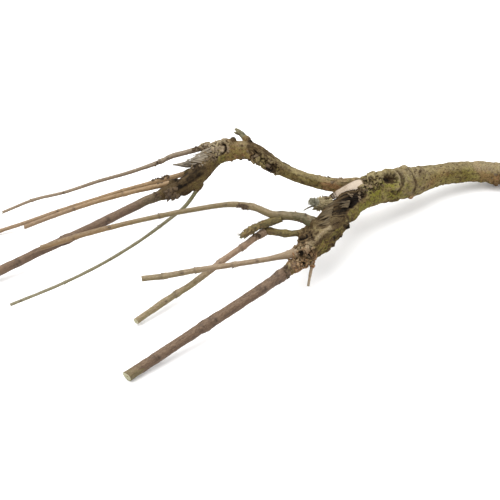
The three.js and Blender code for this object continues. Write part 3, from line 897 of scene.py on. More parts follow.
def arm_bark(at):
    """The upper arm: rusty foot, smooth stretch, cracked lumps, hump, ring scar and dark end."""
    paint = {name: np.zeros_like(at.s) for name in ("dark", "pale", "algae", "rust")}
    top = at.window(-16, 186, 5, -45, 75, 25)
    split = 0.15 + 0.75 * at.window(-16, 24, 6) + 0.9 * at.window(60, 96, 8) * top
    wrinkled = 0.3 + 0.5 * at.window(92, 120, 6)
    height, cracks = common_relief(at, wrinkled, split)
    height *= 0.75
    paint["dark"] += 0.8 * cracks
    foot = at.window(-16, 22, 7)
    paint["rust"] += foot * rise(rough(at.flow / 5.0, 3, 121), -0.7, 0.3)
    paint["dark"] += 0.45 * foot * top * rise(noise(at.flow / (5.0, 1.5, 1.5), 123), -0.2, 0.4)

    # Tiny buds on the smooth stretch.
    for s0, side0, size in ((42, -92, 1.3), (28, 60, 1.1), (56, 150, 1.2)):
        height += 1.2 * at.near(s0, side0, size, size)
        paint["dark"] += 0.9 * at.near(s0, side0, size, size)

    # Dark stripes on top, cracked lumps beneath.
    stripes = rise(rough(at.flow / (7.0, 2.4, 2.4), 3, 131), 0.0, 0.7)
    striped = at.window(58, 98, 8, -48, 70, 20)
    paint["dark"] += 0.35 * striped + 0.5 * stripes * striped
    height -= 0.35 * stripes * striped
    relief, crack, tone = plated(at, at.window(66, 93, 4, -140, -40, 14), 4.0, 2.4, 141)
    height += relief
    paint["dark"] += 0.6 * crack + 0.5 * np.clip(-tone, 0, 1)
    paint["pale"] += 0.45 * np.clip(tone, 0, 1)
    paint["dark"] += 1.2 * at.near(71, -92, 3.6, 3.4)

    # The hump: brown, with rusty specks and two old bud scars on top.
    hump = at.window(92, 119, 5)
    paint["rust"] += hump * (0.45 + 0.6 * rise(noise(at.flow / 2.2, 151), 0.1, 0.6))
    paint["dark"] += 0.15 * hump + 0.5 * hump * rise(noise(at.flow / 3.4, 152), 0.0, 0.6)
    scars = ((99, 16, 2.0), (114, 4, 2.2), (96, -128, 1.8), (106, -140, 1.6), (116, -132, 1.5))
    for s0, side0, size in scars:
        height += 1.4 * at.near(s0, side0, size, size)
        paint["dark"] += 0.85 * at.near(s0, side0, size, size)

    # The ring scar and the pale cracked plates.
    height += callus(at, 125, -32, 7.0, 1.0, 1.4, 200, 0.8)
    groove = callus(at, 125, -32, 5.6, 0.55, 1.0, 200, 0.9)
    knot = at.window(119, 139, 3, -56, 86, 16)
    relief, crack, tone = plated(at, knot * (1 - at.near(124, -32, 6, 5)), 4.2, 2.4, 161)
    height += relief - 1.1 * groove
    paint["dark"] += 0.9 * crack + 1.1 * groove
    paint["pale"] += knot * (0.9 + 0.5 * tone)
    paint["dark"] += 0.7 * at.near(121.5, -16, 1.8, 1.4)

    # The smooth olive stretch, the dark patch and the dark end.
    paint["algae"] += 0.4 * at.window(100, 186, 10, -150, -40, 20)
    patch = at.window(152, 178, 5, -52, 40, 16) * rise(rough(at.flow / (7.0, 4.0, 4.0), 2, 171), -0.9, 0.0)
    paint["dark"] += 0.6 * patch
    paint["rust"] += 0.35 * at.window(146, 190, 6, -120, 60, 30)
    paint["dark"] += 0.5 * at.window(138, 190, 8, -170, 100, 30) + 0.3 * at.window(172, 195, 4)
    return height, paint


# What leaves the old wood: each stem, how far its collar reaches and how wide it starts.
COLLARS = [
    (ARM, 12, 0.35), (THICK, 5, 0.25), (DARK, 5, 0.25), (GREEN, 4, 0.4), (ARCH, 6, 0.4), (MIDDLE, 8, 0.6),
    (TWIG, 2, 0.6), (SNAPPED, 2, 0.4), (SPUR, 2, 0.3), (TOP, 4, 0.5), (TAN_BACK, 1, 0.3),
    (TAN_FRONT, 1, 0.3), (TRAIL, 3, 0.5), (SPIKE, 2, 0.3),
]
# Knobs that stand out of the old wood: stem, distance, side, then half-length, half-width, height.
LUMPS = [
    (LIMB, 40, -110, 4.4, 4.0, 4.2), (LIMB, 31, -84, 3.8, 3.4, 3.0), (LIMB, 196, 40, 8, 6, 3.5),
    (LIMB, 184, 6, 6, 5, 2.6), (LIMB, 145, 10, 4.2, 4.0, 3.0), (LIMB, 158, -138, 7.5, 3.2, 2.6),
    (LIMB, 141.4, -122, 2.4, 2.2, 2.6), (LIMB, 160, 30, 5, 4, 2.0), (LIMB, 218, 12, 7, 5, 1.2),
    (LIMB, 233, -92, 2.4, 2.0, 2.0),
    (LIMB, 248, -90, 2.4, 2.0, 2.0), (LIMB, 280, 48, 7.0, 6.6, 5.4), (LIMB, 268, 70, 4, 4, 2.4),
    (ARM, 71, -96, 3.6, 3.2, 4.2), (ARM, 80, -92, 5.0, 3.6, 2.4), (ARM, 88, -104, 4.0, 3.2, 1.8),
    (ARM, 99, 16, 2.2, 2.0, 2.0), (ARM, 114, 4, 2.4, 2.2, 2.2), (ARM, 128, 0, 6.5, 5.5, 2.2),
    (ARM, 163, -140, 4.0, 3.0, 1.8), (ARM, 181, -84, 5.5, 5.0, 4.6),
    (LIMB, 36, -62, 3.0, 2.6, 2.0),
]
OLD_VOXEL = 0.52


def old_wood_shells():
    shells = Skin()
    plain_tube(shells, LIMB, 0.4, LIMB.length, lambda t: 1.0, 40)
    plain_tube(shells, ARM, -ARM.bury, ARM.length, lambda t: 1.0, 36)
    for stem, reach, swell in COLLARS:
        depth = stem.bury
        mouth = depth / (depth + reach)

        def flare(t, mouth=mouth, swell=swell):
            beyond = np.clip((t - mouth * 0.6) / (1 - mouth * 0.6), 0, 1)
            return 1 + swell * (1 - beyond) ** 2 - 0.4 * rise(beyond, 0.6, 1.0)

        plain_tube(shells, stem, -depth, reach, flare, 24, 1.0)
    for stem, s, side, along, across, high in LUMPS:
        lump(shells, stem, s, side, along, across, high)
    return shells


def old_wood(looks):
    """The main limb and the upper arm as one skin, with everything that their bark has been through."""
    points, quads = fused(old_wood_shells(), OLD_VOXEL)
    edges = edges_of(quads)
    points = relaxed(points, edges, 4)
    normals = outward(points, quads)
    on_stem = located(points, LIMB)
    from_base = on_stem[0]
    s0, angle0, radius0, height0 = settled(on_stem, edges, 30)
    s1, angle1, radius1, height1 = settled(located(points, ARM), edges, 30)
    on_limb = height0 <= height1
    limb_share = rise(height1 - height0, -2.5, 2.5)
    limb = Place(s0, angle0, radius0, 0)
    arm = Place(s1, angle1, radius1, 1)
    limb_height, limb_paint = limb_bark(limb)
    arm_height, arm_paint = arm_bark(arm)
    height = limb_height * limb_share + arm_height * (1 - limb_share)
    height = np.where(on_limb, height * rise(from_base, 0.2, 2.5), height)
    # Painted shade: points below the mean height of the bark around them, close by and further off, are
    # darkened.
    near_mean = relaxed(height, edges, 14)
    deep = near_mean[:, 0] - height
    broad = relaxed(near_mean, edges, 60)[:, 0] - height
    paint = {}
    for name in limb_paint:
        paint[name] = limb_paint[name] * limb_share + arm_paint[name] * (1 - limb_share)
    skin = Skin()
    skin.add(
        points + normals * height[:, None], quads, np.where(on_limb[:, None], limb.flow, arm.flow),
        crevice=np.clip(deep * 2.0 + broad * 0.55, 0, 1), sky=normals[:, 2], **paint,
    )
    return skin.piece("old_wood", looks, "old_bark", "main_limb", "upper_arm")


# ------------------------------------------------------------------ looks

# How much the studio light brightens the bark, found by comparing renders with the photo.
STUDIO_LIGHT = 1.75


def colour(code):
    """The surface colour that looks like a hex code under the studio light."""
    parts = [((code >> shift) & 255) / 255 for shift in (16, 8, 0)]
    linear = [c / 12.92 if c <= 0.04045 else ((c + 0.055) / 1.055) ** 2.4 for c in parts]
    return (*[c / STUDIO_LIGHT for c in linear], 1.0)


class Look:
    """A material, and short names for the shader nodes that it is wired from."""

    def __init__(self, name):
        self.material = bpy.data.materials.new(name)
        self.material.use_nodes = True
        self.tree = self.material.node_tree
        self.shader = self.tree.nodes["Principled BSDF"]

    def node(self, kind, **settings):
        node = self.tree.nodes.new(kind)
        for key, value in settings.items():
            setattr(node, key, value)
        return node

    def feed(self, socket, value):
        if isinstance(value, bpy.types.NodeSocket):
            self.tree.links.new(value, socket)
        else:
            socket.default_value = value

    def mask(self, name):
        return self.node("ShaderNodeAttribute", attribute_name=name).outputs["Fac"]

    def flow(self, along=1.0, across=1.0):
        """Coordinates along and around the stem, in millimetres, stretched as bark grain is."""
        source = self.node("ShaderNodeAttribute", attribute_name="flow").outputs["Vector"]
        mapping = self.node("ShaderNodeMapping")
        self.feed(mapping.inputs["Vector"], source)
        mapping.inputs["Scale"].default_value = (along, across, across)
        return mapping.outputs["Vector"]

    def noise(self, vector, scale=1.0, detail=4.0, roughness=0.6, distortion=0.0):
        node = self.node("ShaderNodeTexNoise")
        self.feed(node.inputs["Vector"], vector)
        for key, value in (("Scale", scale), ("Detail", detail), ("Roughness", roughness)):
            node.inputs[key].default_value = value
        node.inputs["Distortion"].default_value = distortion
        return node.outputs["Fac"]

    def cells(self, vector, scale=1.0, feature="F1"):
        node = self.node("ShaderNodeTexVoronoi", feature=feature)
        self.feed(node.inputs["Vector"], vector)
        node.inputs["Scale"].default_value = scale
        return node.outputs["Distance"]

    def rise(self, value, low, high, top=1.0):
        node = self.node("ShaderNodeMapRange", interpolation_type="SMOOTHSTEP")
        self.feed(node.inputs["Value"], value)
        for key, setting in (("From Min", low), ("From Max", high), ("To Min", 0.0), ("To Max", top)):
            node.inputs[key].default_value = setting
        return node.outputs["Result"]

    def math(self, operation, first, second=0.0):
        node = self.node("ShaderNodeMath", operation=operation)
        self.feed(node.inputs[0], first)
        self.feed(node.inputs[1], second)
        return node.outputs[0]

    def mix(self, amount, first, second, blend="MIX"):
        node = self.node("ShaderNodeMix", data_type="RGBA", blend_type=blend, clamp_factor=True)
        self.feed(node.inputs["Factor"], amount)
        self.feed(node.inputs[6], first)
        self.feed(node.inputs[7], second)
        return node.outputs[2]

    def finish(self, tone, height, rough_low, rough_high, depth=0.3, strength=0.7, gloss=0.3):
        """Connects colour, roughness and relief; depth is the relief's height in millimetres."""
        self.feed(self.shader.inputs["Base Color"], tone)
        roughness = self.node("ShaderNodeMapRange")
        self.feed(roughness.inputs["Value"], height)
        roughness.inputs["To Min"].default_value = rough_high
        roughness.inputs["To Max"].default_value = rough_low
        self.feed(self.shader.inputs["Roughness"], roughness.outputs["Result"])
        bump = self.node("ShaderNodeBump")
        self.feed(bump.inputs["Height"], height)
        bump.inputs["Strength"].default_value = strength
        bump.inputs["Distance"].default_value = depth * MM
        self.feed(self.shader.inputs["Normal"], bump.outputs["Normal"])
        self.shader.inputs["Specular IOR Level"].default_value = gloss
        return self.material


def old_bark_look():
    """Weathered olive and grey bark, with algae, rusty skin, pale plates and dark cracks as painted, a
    painted highlight on faces that look up and painted shade in the hollows.
    """
    look = Look("old_bark")
    large = look.noise(look.flow(0.05, 0.09), detail=3)
    patches = look.noise(look.flow(0.11, 0.17), detail=4, roughness=0.65)
    middle = look.noise(look.flow(0.3, 0.42), detail=5, roughness=0.65)
    grain = look.noise(look.flow(0.16, 1.15), detail=4)
    fine = look.noise(look.flow(1.6, 2.1), detail=3)
    tone = look.mix(look.rise(large, 0.36, 0.62), colour(0x7c6c38), colour(0xa0905e))
    tone = look.mix(look.rise(patches, 0.46, 0.6, 0.7), tone, colour(0x6e5633))
    tone = look.mix(look.rise(middle, 0.49, 0.6, 0.9), tone, colour(0x524223))
    tone = look.mix(look.rise(grain, 0.5, 0.68, 0.6), tone, colour(0x463721))
    tone = look.mix(look.rise(fine, 0.52, 0.72, 0.5), tone, colour(0xb9a974))
    algae = look.math("MULTIPLY", look.mask("algae"), look.rise(middle, 0.62, 0.42))
    tone = look.mix(algae, tone, look.mix(look.rise(fine, 0.35, 0.65), colour(0x5c5c1a), colour(0xa49c42)))
    rust = look.math("MULTIPLY", look.mask("rust"), look.rise(grain, 0.3, 0.6))
    tone = look.mix(look.math("MULTIPLY", rust, 0.85), tone,
                    look.mix(look.rise(fine, 0.4, 0.65), colour(0x845430), colour(0xc89e74)))
    pale = look.math("MULTIPLY", look.mask("pale"), look.rise(middle, 0.3, 0.55))
    tone = look.mix(pale, tone, look.mix(look.rise(fine, 0.4, 0.7), colour(0xa08a70), colour(0xcdbda4)))
    # Painted highlight: faces that look up are lightened.
    top_highlight = look.math("MULTIPLY", look.rise(look.mask("sky"), 0.5, 1.0), look.rise(fine, 0.35, 0.6, 0.6))
    tone = look.mix(top_highlight, tone, colour(0xc2b38c))
    # Painted shade in the hollows.
    tone = look.mix(look.math("MULTIPLY", look.mask("crevice"), 0.8), tone, colour(0x2a1e12))
    broken = look.math("ADD", look.math("MULTIPLY", middle, 0.9), look.math("MULTIPLY", fine, 0.7))
    # Darker where the dark mask is laid: knots, scars, cracks, pits and torn wood.
    dark_marks = look.math("MULTIPLY", look.mask("dark"), look.math("ADD", broken, 0.2))
    brown = look.mix(look.rise(fine, 0.38, 0.62), colour(0x3d2e1b), colour(0x68543a))
    tone = look.mix(look.rise(dark_marks, 0.0, 0.75, 0.9), tone, brown)
    tone = look.mix(look.rise(dark_marks, 0.65, 1.35), tone, colour(0x1a120a))
    height = look.math("ADD", look.math("MULTIPLY", fine, 0.6), look.math("MULTIPLY", grain, 0.5))
    return look.finish(tone, height, 0.72, 0.98, 0.35, 0.8, 0.1)


def young_bark_look(name, base, tip, dark, light, film=0.35, turn=(0.55, 0.95), base_end=0.12, foot=None):
    """A shoot's bark: grain along it, a flaking grey film, pale pores, darker leaf joints, a painted
    highlight on top and painted shade in the grooves.
    """
    look = Look(name)
    along = look.mask("along")
    patches = look.noise(look.flow(0.09, 0.3), detail=3)
    grain = look.noise(look.flow(0.12, 1.5), detail=4)
    flakes = look.noise(look.flow(0.4, 0.9), detail=5, roughness=0.7)
    fine = look.noise(look.flow(1.8, 3.0), detail=3)
    drift = look.math("ADD", along, look.math("MULTIPLY", patches, 0.25))
    tone = look.mix(look.rise(drift, turn[0] + 0.12, turn[1] + 0.12), colour(base), colour(tip))
    if foot is not None:
        tone = look.mix(look.math("SUBTRACT", 1.0, look.rise(drift, base_end, base_end + 0.2)), tone,
                        colour(foot))
    tone = look.mix(look.rise(grain, 0.48, 0.72, 0.7), tone, colour(dark))
    tone = look.mix(look.rise(flakes, 0.5, 0.68, film), tone, colour(light))
    tone = look.mix(look.rise(patches, 0.55, 0.75, 0.35), tone, colour(dark))
    pores = look.cells(look.flow(0.55, 0.95), 1.0)
    dots = look.math("SUBTRACT", 1.0, look.rise(pores, 0.08, 0.2))
    tone = look.mix(look.math("MULTIPLY", dots, 0.55), tone, colour(light))
    tone = look.mix(look.math("MULTIPLY", look.mask("pale"), 0.5), tone, colour(light))
    # Painted highlight: faces that look up are lightened with the film's pale colour.
    top_highlight = look.math("MULTIPLY", look.rise(look.mask("sky"), 0.3, 1.0), look.rise(flakes, 0.35, 0.6, 0.45))
    tone = look.mix(top_highlight, tone, colour(light))
    # Painted shade in the grooves.
    tone = look.mix(look.math("MULTIPLY", look.mask("crevice"), 0.5), tone, colour(0x2e2115))
    tone = look.mix(look.mask("dark"), tone, colour(0x2f2117))
    height = look.math("ADD", look.math("MULTIPLY", grain, 0.6), look.math("MULTIPLY", fine, 0.35))
    height = look.math("ADD", height, look.math("MULTIPLY", dots, 0.25))
    return look.finish(tone, height, 0.45, 0.8, 0.16, 0.7)


def cut_wood_look(name, wood, shade, rim, pith, rings=0.0):
    """A cut face: pith in the middle, speckled wood with faint rings where asked, and a rim of inner bark."""
    look = Look(name)
    end = look.mask("end")
    speck = look.noise(look.flow(3.2, 3.2), detail=4)
    cloud = look.noise(look.flow(0.6, 0.6), detail=3)
    tone = look.mix(look.rise(speck, 0.42, 0.66, 0.75), colour(wood), colour(shade))
    tone = look.mix(look.rise(cloud, 0.45, 0.7, 0.4), tone, colour(shade))
    if rings:
        wobble = look.math("ADD", look.math("MULTIPLY", end, rings), look.math("MULTIPLY", cloud, 1.2))
        wave = look.math("SINE", look.math("MULTIPLY", wobble, TURN))
        tone = look.mix(look.rise(wave, 0.2, 1.0, 0.5), tone, colour(rim))
    tone = look.mix(look.rise(end, 0.86, 0.96), tone, colour(rim))
    tone = look.mix(look.math("SUBTRACT", 1.0, look.rise(end, 0.1, 0.24)), tone, colour(pith))
    tone = look.mix(look.math("MULTIPLY", look.mask("pale"), 0.8), tone, colour(wood))
    tone = look.mix(look.mask("dark"), tone, colour(0x2c1f14))
    height = look.math("ADD", speck, look.math("MULTIPLY", cloud, 0.3))
    return look.finish(tone, height, 0.7, 0.95, 0.2, 0.6)


def dead_wood_look(name, base, light, dark):
    """Weathered wood without bark: grey fibres with dark splits between them, and painted shade in its
    hollows.
    """
    look = Look(name)
    fibres = look.noise(look.flow(0.1, 1.4), detail=5, roughness=0.65)
    splits = look.noise(look.flow(0.07, 0.8), detail=3)
    fine = look.noise(look.flow(1.2, 3.5), detail=3)
    tone = look.mix(look.rise(fibres, 0.4, 0.65), colour(base), colour(light))
    tone = look.mix(look.rise(splits, 0.52, 0.68, 0.85), tone, colour(dark))
    tone = look.mix(look.math("MULTIPLY", look.mask("algae"), look.rise(fine, 0.3, 0.6, 0.9)),
                    tone, colour(0x8d8a5a))
    tone = look.mix(look.math("MULTIPLY", look.mask("pale"), 0.8), tone, colour(light))
    # Painted shade in the hollows.
    tone = look.mix(look.math("MULTIPLY", look.mask("crevice"), 0.8), tone, colour(dark))
    tone = look.mix(look.mask("dark"), tone, colour(0x2f2a24))
    height = look.math("ADD", look.math("MULTIPLY", fibres, 0.8), look.math("MULTIPLY", fine, 0.3))
    return look.finish(tone, height, 0.8, 1.0, 0.3, 0.9)


def scale_look(name, base, light, dark):
    """Bud scales and flakes of dead bark: dark brown, lighter where they are worn."""
    look = Look(name)
    patches = look.noise(look.flow(0.5, 0.5), detail=4)
    fine = look.noise(look.flow(2.4, 2.4), detail=3)
    tone = look.mix(look.rise(patches, 0.4, 0.62), colour(base), colour(light))
    tone = look.mix(look.rise(fine, 0.45, 0.7, 0.7), tone, colour(dark))
    tone = look.mix(look.math("MULTIPLY", look.mask("pale"), 0.7), tone, colour(light))
    tone = look.mix(look.math("MULTIPLY", look.mask("dark"), 0.6), tone, colour(dark))
    return look.finish(tone, fine, 0.55, 0.85, 0.2, 0.8)


def lichen_look():
    """Pale grey-green lichen with yellowish and dark specks, and painted shade in its hollows."""
    look = Look("lichen")
    patches = look.noise(look.flow(0.35, 0.35), detail=4)
    fine = look.noise(look.flow(1.7, 1.7), detail=4)
    tone = look.mix(look.rise(patches, 0.4, 0.6), colour(0xb4af94), colour(0xd6d1b8))
    tone = look.mix(look.rise(fine, 0.5, 0.7, 0.7), tone, colour(0x77714f))
    # Painted shade in the hollows and deep in the tuft.
    tone = look.mix(look.math("MULTIPLY", look.mask("crevice"), 0.8), tone, colour(0x4b4530))
    tone = look.mix(look.mask("dark"), tone, colour(0x38301f))
    return look.finish(tone, fine, 0.85, 1.0, 0.35, 0.9)


SCALES = scale_look("bud_scales", 0x5d4733, 0x8a7156, 0x33261b)
OLD_SCALES = scale_look("old_scales", 0x584530, 0x846c4c, 0x2a1d13)
CUT = cut_wood_look("cut_wood", 0xd3cfae, 0xb3ab83, 0x93976a, 0x9a8257)
DULL_CUT = cut_wood_look("weathered_cut", 0xa39a76, 0x84795a, 0x6f7048, 0x5d4f38)
SAWN = cut_wood_look("sawn_wood", 0xffecd4, 0x9c7a58, 0x8a6c50, 0xcbb094)
END_GRAIN = cut_wood_look("end_grain", 0xd9c3a0, 0xb99c76, 0xa98a63, 0x8a6b48, rings=9.0)


# ------------------------------------------------------------------ shoots

def shoot(name, stem, slot, look, pairs, seed, bud_length=2.4, cut=CUT, scales=SCALES, **shape):
    """One shoot with its bark, cut face and buds as a piece that stands for its CAD node."""
    skin = Skin()
    pairs = bud_pairs(pairs, stem)
    grow_shoot(skin, stem, pairs, seed, **shape)
    for k, (s, side) in enumerate(pairs):
        if bud_length:
            bud_pair(skin, stem, s, side, bud_length, seed + 3 * k)
    return skin.piece(name, [look, cut, scales], slot, stem.node)


def grow_shoots():
    """All the shoots; leaf joints are measured back from the tip, with the side of their first bud."""
    purple = young_bark_look("purple_bark", 0x705741, 0x7b7145, 0x47352a, 0xa1876d, 0.5, (0.93, 0.98))
    shoot("thick_cut_shoot_bark", THICK, "purple_bark", purple,
          [(155, 40), (137, -50), (86, -50), (76, 40), (28.7, -50)], 3, 2.6,
          lean=(12, 90), around=44, spacing=0.8)
    dark = young_bark_look("dark_bark", 0x745c48, 0x8a7058, 0x49382c, 0x9c8065, 0.4, (0.7, 0.95),
                           foot=0x5c512f)
    shoot("dark_cut_shoot_bark", DARK, "purple_bark", dark,
          [(134, -50), (92, 40), (48, -50)], 5, 2.4, lean=(20, -90), around=44, spacing=0.8)
    pink = young_bark_look("pink_bark", 0xa08869, 0x91815c, 0x75604a, 0xc0aa8e, 0.5, (0.45, 0.9))
    shoot("middle_cut_shoot_bark", MIDDLE, "pink_bark", pink,
          [(99, -50), (79, 40), (47, -140), (35, -50), (19, 40)], 7, 2.2, cut=DULL_CUT, lean=(8, 90))
    rosy = young_bark_look("rosy_bark", 0xa4866b, 0x91835b, 0x6f5a45, 0xc3a98e, 0.5, (0.25, 0.6), 0.0,
                           foot=0x6b5a3c)
    shoot("crossing_shoot_bark", CROSS, "pink_bark", rosy,
          [(117, 40), (92, 40), (81, -50), (43, 40), (31, -50)], 9, 2.3, lean=(12, 90))
    tan = young_bark_look("arching_bark", 0x8a7850, 0x9c7c54, 0x54452e, 0xb09c80, 0.4, (0.55, 0.85),
                          foot=0x5f5a36)
    shoot("arching_shoot_bark", ARCH, "tan_bark", tan,
          [(219.3, 20), (190, -120), (166.8, -50), (107.4, 40), (62, -50), (30, 40)], 11, 2.0, lean=(20, -60))
    orange = young_bark_look("orange_bark", 0xa6865c, 0xa28668, 0x705336, 0xc6ab8a, 0.45, (0.4, 0.8))
    shoot("tan_back_shoot_bark", TAN_BACK, "tan_bark", orange, [(130, 40), (68, -50), (12, 40)], 13, 1.9)
    shoot("tan_front_shoot_bark", TAN_FRONT, "tan_bark", orange, [(95, 40), (48, -50)], 15, 1.9,
          lean=(15, -90))
    thin = young_bark_look("thin_bark", 0x917d65, 0xa58f76, 0x5a4838, 0xbdad95, 0.5, (0.3, 0.8))
    shoot("top_thin_shoot_bark", TOP, "thin_bark", thin,
          [(160, -50), (153, 40), (60, -50), (28.8, 40)], 17, 2.2, cut=DULL_CUT, end="snap", around=30)
    grey = young_bark_look("trailing_bark", 0x827a56, 0x948b6c, 0x4f4833, 0xb0a992, 0.5, (0.5, 0.9),
                           foot=0x66602c)
    shoot("trailing_thin_shoot_bark", TRAIL, "thin_bark", grey,
          [(150, 40), (95, -50), (50, 40), (9.6, -50)], 19, 1.7, cut=DULL_CUT, around=30)
    pale = young_bark_look("dead_twig_bark", 0xa38a6c, 0x9c8a70, 0x6f5a43, 0xc3b296, 0.5, (0.5, 0.9))
    shoot("dead_twig_bark", TWIG, "thin_bark", pale, [(9, 0)], 21, 1.3, cut=DULL_CUT, around=24,
          spacing=0.7)


def grow_spurs():
    """The short spurs of the lower arm, rough with old scales."""
    olive = young_bark_look("spur_bark", 0x6a5c34, 0x6f5634, 0x2c2413, 0xac9858, 0.75, (0.5, 0.9))
    skin = Skin()
    grow_shoot(skin, GREEN, [(GREEN.length * 0.45, -140), (GREEN.length * 0.9, 40)], 23, bark=2.6,
               spacing=0.6)
    skin.piece("green_spur_bark", [olive, DULL_CUT, SCALES], "olive_bark", "green_spur")
    skin = Skin()
    grow_shoot(skin, OLD, [(6, 40), (13, -50), (20, 30)], 25, end="snap", bark=3.6, spacing=0.5)
    for k in range(20):
        s = 2 + 1.15 * k
        turn = (137.5 * k) % 360
        point, out, run = OLD.spot(s, turn, -0.3)
        scale_shell(skin, point, out, unit(run + 0.2 * out), 3.4, 2.6, 0.18, 2, dark=0.3 * (k % 3))
    brown = scale_look("spur_scales", 0x7a6038, 0xa18a58, 0x3a2b1a)
    for k in range(10):
        s = 3 + 2.0 * k
        point, out, run = OLD.spot(s, (99 * k) % 360, 0.1)
        u = np.linspace(0, 1, 8)[:, None]
        twist = np.cross(out, run)
        course = point + run * 7 * u + twist * (1.6 * np.sin(2.6 * u)) - out * 0.7 * u**2
        splinter(skin, course, 1.3, 0.5, out, 300 + k, 2, pale=0.8 * (k % 2))
    skin.piece("old_spur_bark", [olive, DULL_CUT, brown], "olive_bark", "old_spur")


# ------------------------------------------------------------------ stubs and dead wood

def cut_plane(node):
    """The largest flat face of a CAD node: its outline, middle and facing."""
    points, _, triangles = merged_mesh(node)
    a, b, c = (points[triangles[:, k]] for k in range(3))
    cross = np.cross(b - a, c - a)
    area = np.linalg.norm(cross, axis=1)
    facing = cross / np.maximum(area, 1e-9)[:, None]
    best = None
    for i in np.argsort(-area)[:12]:
        flat = (facing @ facing[i] > 0.9995) & (np.abs((a - a[i]) @ facing[i]) < 0.03)
        total = area[flat].sum()
        if best is None or total > best[0]:
            best = (total, flat, facing[i])
    _, flat, normal = best
    rim = points[np.unique(triangles[flat])]
    return rim, rim.mean(axis=0), normal


def sawn_stub():
    """The stub in the fork: a long clean saw cut with a rim of bark, notched at its lower end."""
    rim, middle, normal = cut_plane("sawn_stub")
    first = unit(rim[rim[:, 0].argmax()] - rim[rim[:, 0].argmin()])
    first = unit(first - normal * (first @ normal))
    second = np.cross(normal, first)
    swing = math.radians(9)
    first, second = (first * math.cos(swing) + second * math.sin(swing),
                     second * math.cos(swing) - first * math.sin(swing))
    x = (rim - middle) @ first
    y = (rim - middle) @ second
    middle = middle + first * (x.max() + x.min()) / 2 + second * (y.max() + y.min()) / 2
    half_long = 1.12 * (x.max() - x.min()) / 2
    half_wide = 1.25 * (y.max() - y.min()) / 2
    middle = middle + normal * 2.0 - first * 3.4 - second * 1.0
    count = 140
    turn = np.linspace(0, TURN, count, endpoint=False)
    squareness = 2 / 3.4
    px = half_long * np.sign(np.cos(turn)) * np.abs(np.cos(turn)) ** squareness
    py = half_wide * np.sign(np.sin(turn)) * np.abs(np.sin(turn)) ** squareness
    py = py * (0.84 + 0.26 * rise(px / half_long, -0.9, 0.6))
    skin = Skin()
    levels = [(-12, 0.5), (-9, 0.75), (-6.5, 0.92), (-4.5, 1.0), (-3, 1.04), (-1.8, 1.05), (-0.9, 1.05),
              (-0.35, 1.03), (0.1, 1.0)]
    rings = []
    for depth, share in levels:
        flat = middle + first * (px * share)[:, None] + second * (py * share)[:, None] + normal * depth
        wobble = 0.4 * rough(flat / 2.4, 3, 201) * rise(-depth, 0.1, 1.2)
        way = unit(first * px[:, None] + second * py[:, None])
        rings.append(flat + way * wobble[:, None])
    shares = np.concatenate([[0.96], np.linspace(0.92, 0.08, 20)])
    notches = np.zeros((len(levels), count))
    for share in shares:
        flat = middle + first * (px * share)[:, None] + second * (py * share)[:, None]
        saw = 0.1 * noise(flat / 0.9, 203) + 0.06 * np.sin((px * share) * 2.3)
        notch = np.zeros(count)
        for place, width in ((-0.96, 0.045), (-0.84, 0.05), (-0.7, 0.02)):
            ragged = 0.03 * noise(flat / 1.5, 205)
            notch += np.exp(-(((px * share / half_long - place + ragged) / width) ** 2))
        notches = np.vstack([notches, notch])
        rings.append(flat + normal * (saw - 0.12 - 1.1 * notch)[:, None])
    rows = len(rings)
    points = np.vstack(rings + [middle - normal * 0.12, middle - normal * 13])
    faces = grid_faces(rows, count)
    kinds = [0] * (len(levels) * count) + [1] * ((rows - 1 - len(levels)) * count)
    faces += fan(rows * count, (rows - 1) * count, count, True) + fan(rows * count + 1, 0, count, False)
    kinds += [1] * count + [0] * count
    ends = np.concatenate([np.ones(len(levels) * count)] + [np.full(count, 0.3 + 0.66 * s) for s in shares])
    dark = np.clip(0.95 * notches, 0, 1)
    dark[:len(levels)] = 0.45
    skin.add(points, faces, None, kinds, end=np.append(ends, [0.3, 1.0]),
             dark=np.append(dark.ravel(), [0.0, 0.0]), rust=0.4,
             pale=np.append(np.tile(0.85 * rise(px / half_long, 0.0, 0.8), rows), [0.5, 0.0]))
    skin.piece("saw_cut_stub", [OLD_BARK, SAWN], "sawn_wood", "sawn_stub")


def snapped_stub():
    """The stub on the hump, snapped off and greenish grey."""
    skin = Skin()
    SNAPPED.radii *= 0.95 + 0.45 * rise(SNAPPED.s, 0, SNAPPED.length)[:, None]
    grow_shoot(skin, SNAPPED, [(1.5, 20)], 31, end="snap", around=34, spacing=0.5, bark=1.5, lean=(12, 0))
    wood = dead_wood_look("stub_wood", 0x8b8462, 0xa9a284, 0x4d4630)
    skin.piece("snapped_stub_wood", [wood, DULL_CUT], "dead_wood", "snapped_stub")


def splinter(skin, course, width, thick, out, seed, kind=0, **masks):
    """A torn strip of wood: flat, pointed at its tip and ragged along its edges."""
    course = np.asarray(course, float)
    rows = len(course)
    run = unit(np.gradient(course, axis=0))
    aside = unit(np.cross(out, run))
    lift = np.cross(run, aside)
    columns = 8
    turn = np.linspace(0, TURN, columns, endpoint=False)
    u = np.linspace(0, 1, rows)
    half = width * 0.5 * (1 - u**2.2) ** 0.8 * (0.75 + 0.25 * rise(u, 0, 0.2)) + 0.05
    ragged = 1 + 0.28 * noise(np.stack([u * rows / 2.2, u * 0, u * 0 + seed], -1), seed)
    rings = []
    for i in range(rows):
        ring = (aside[i] * (np.cos(turn) * half[i] * ragged[i])[:, None]
                + lift[i] * (np.sin(turn) * thick * (1 - 0.7 * u[i]))[:, None])
        rings.append(course[i] + ring)
    points = np.vstack(rings + [course[0], course[-1]])
    faces = grid_faces(rows, columns)
    faces += fan(rows * columns, 0, columns, False)
    faces += fan(rows * columns + 1, (rows - 1) * columns, columns, True)
    length = np.linalg.norm(course[-1] - course[0])
    flow = np.repeat(np.stack([u * length, u * 0 + seed * 3.7, u * 0], -1), columns, axis=0)
    flow = np.vstack([flow, flow[0], flow[-1]])
    flow[:-2, 2] += np.tile(np.cos(turn) * width * 0.5, rows)
    skin.add(points, faces, flow, kind, **masks)


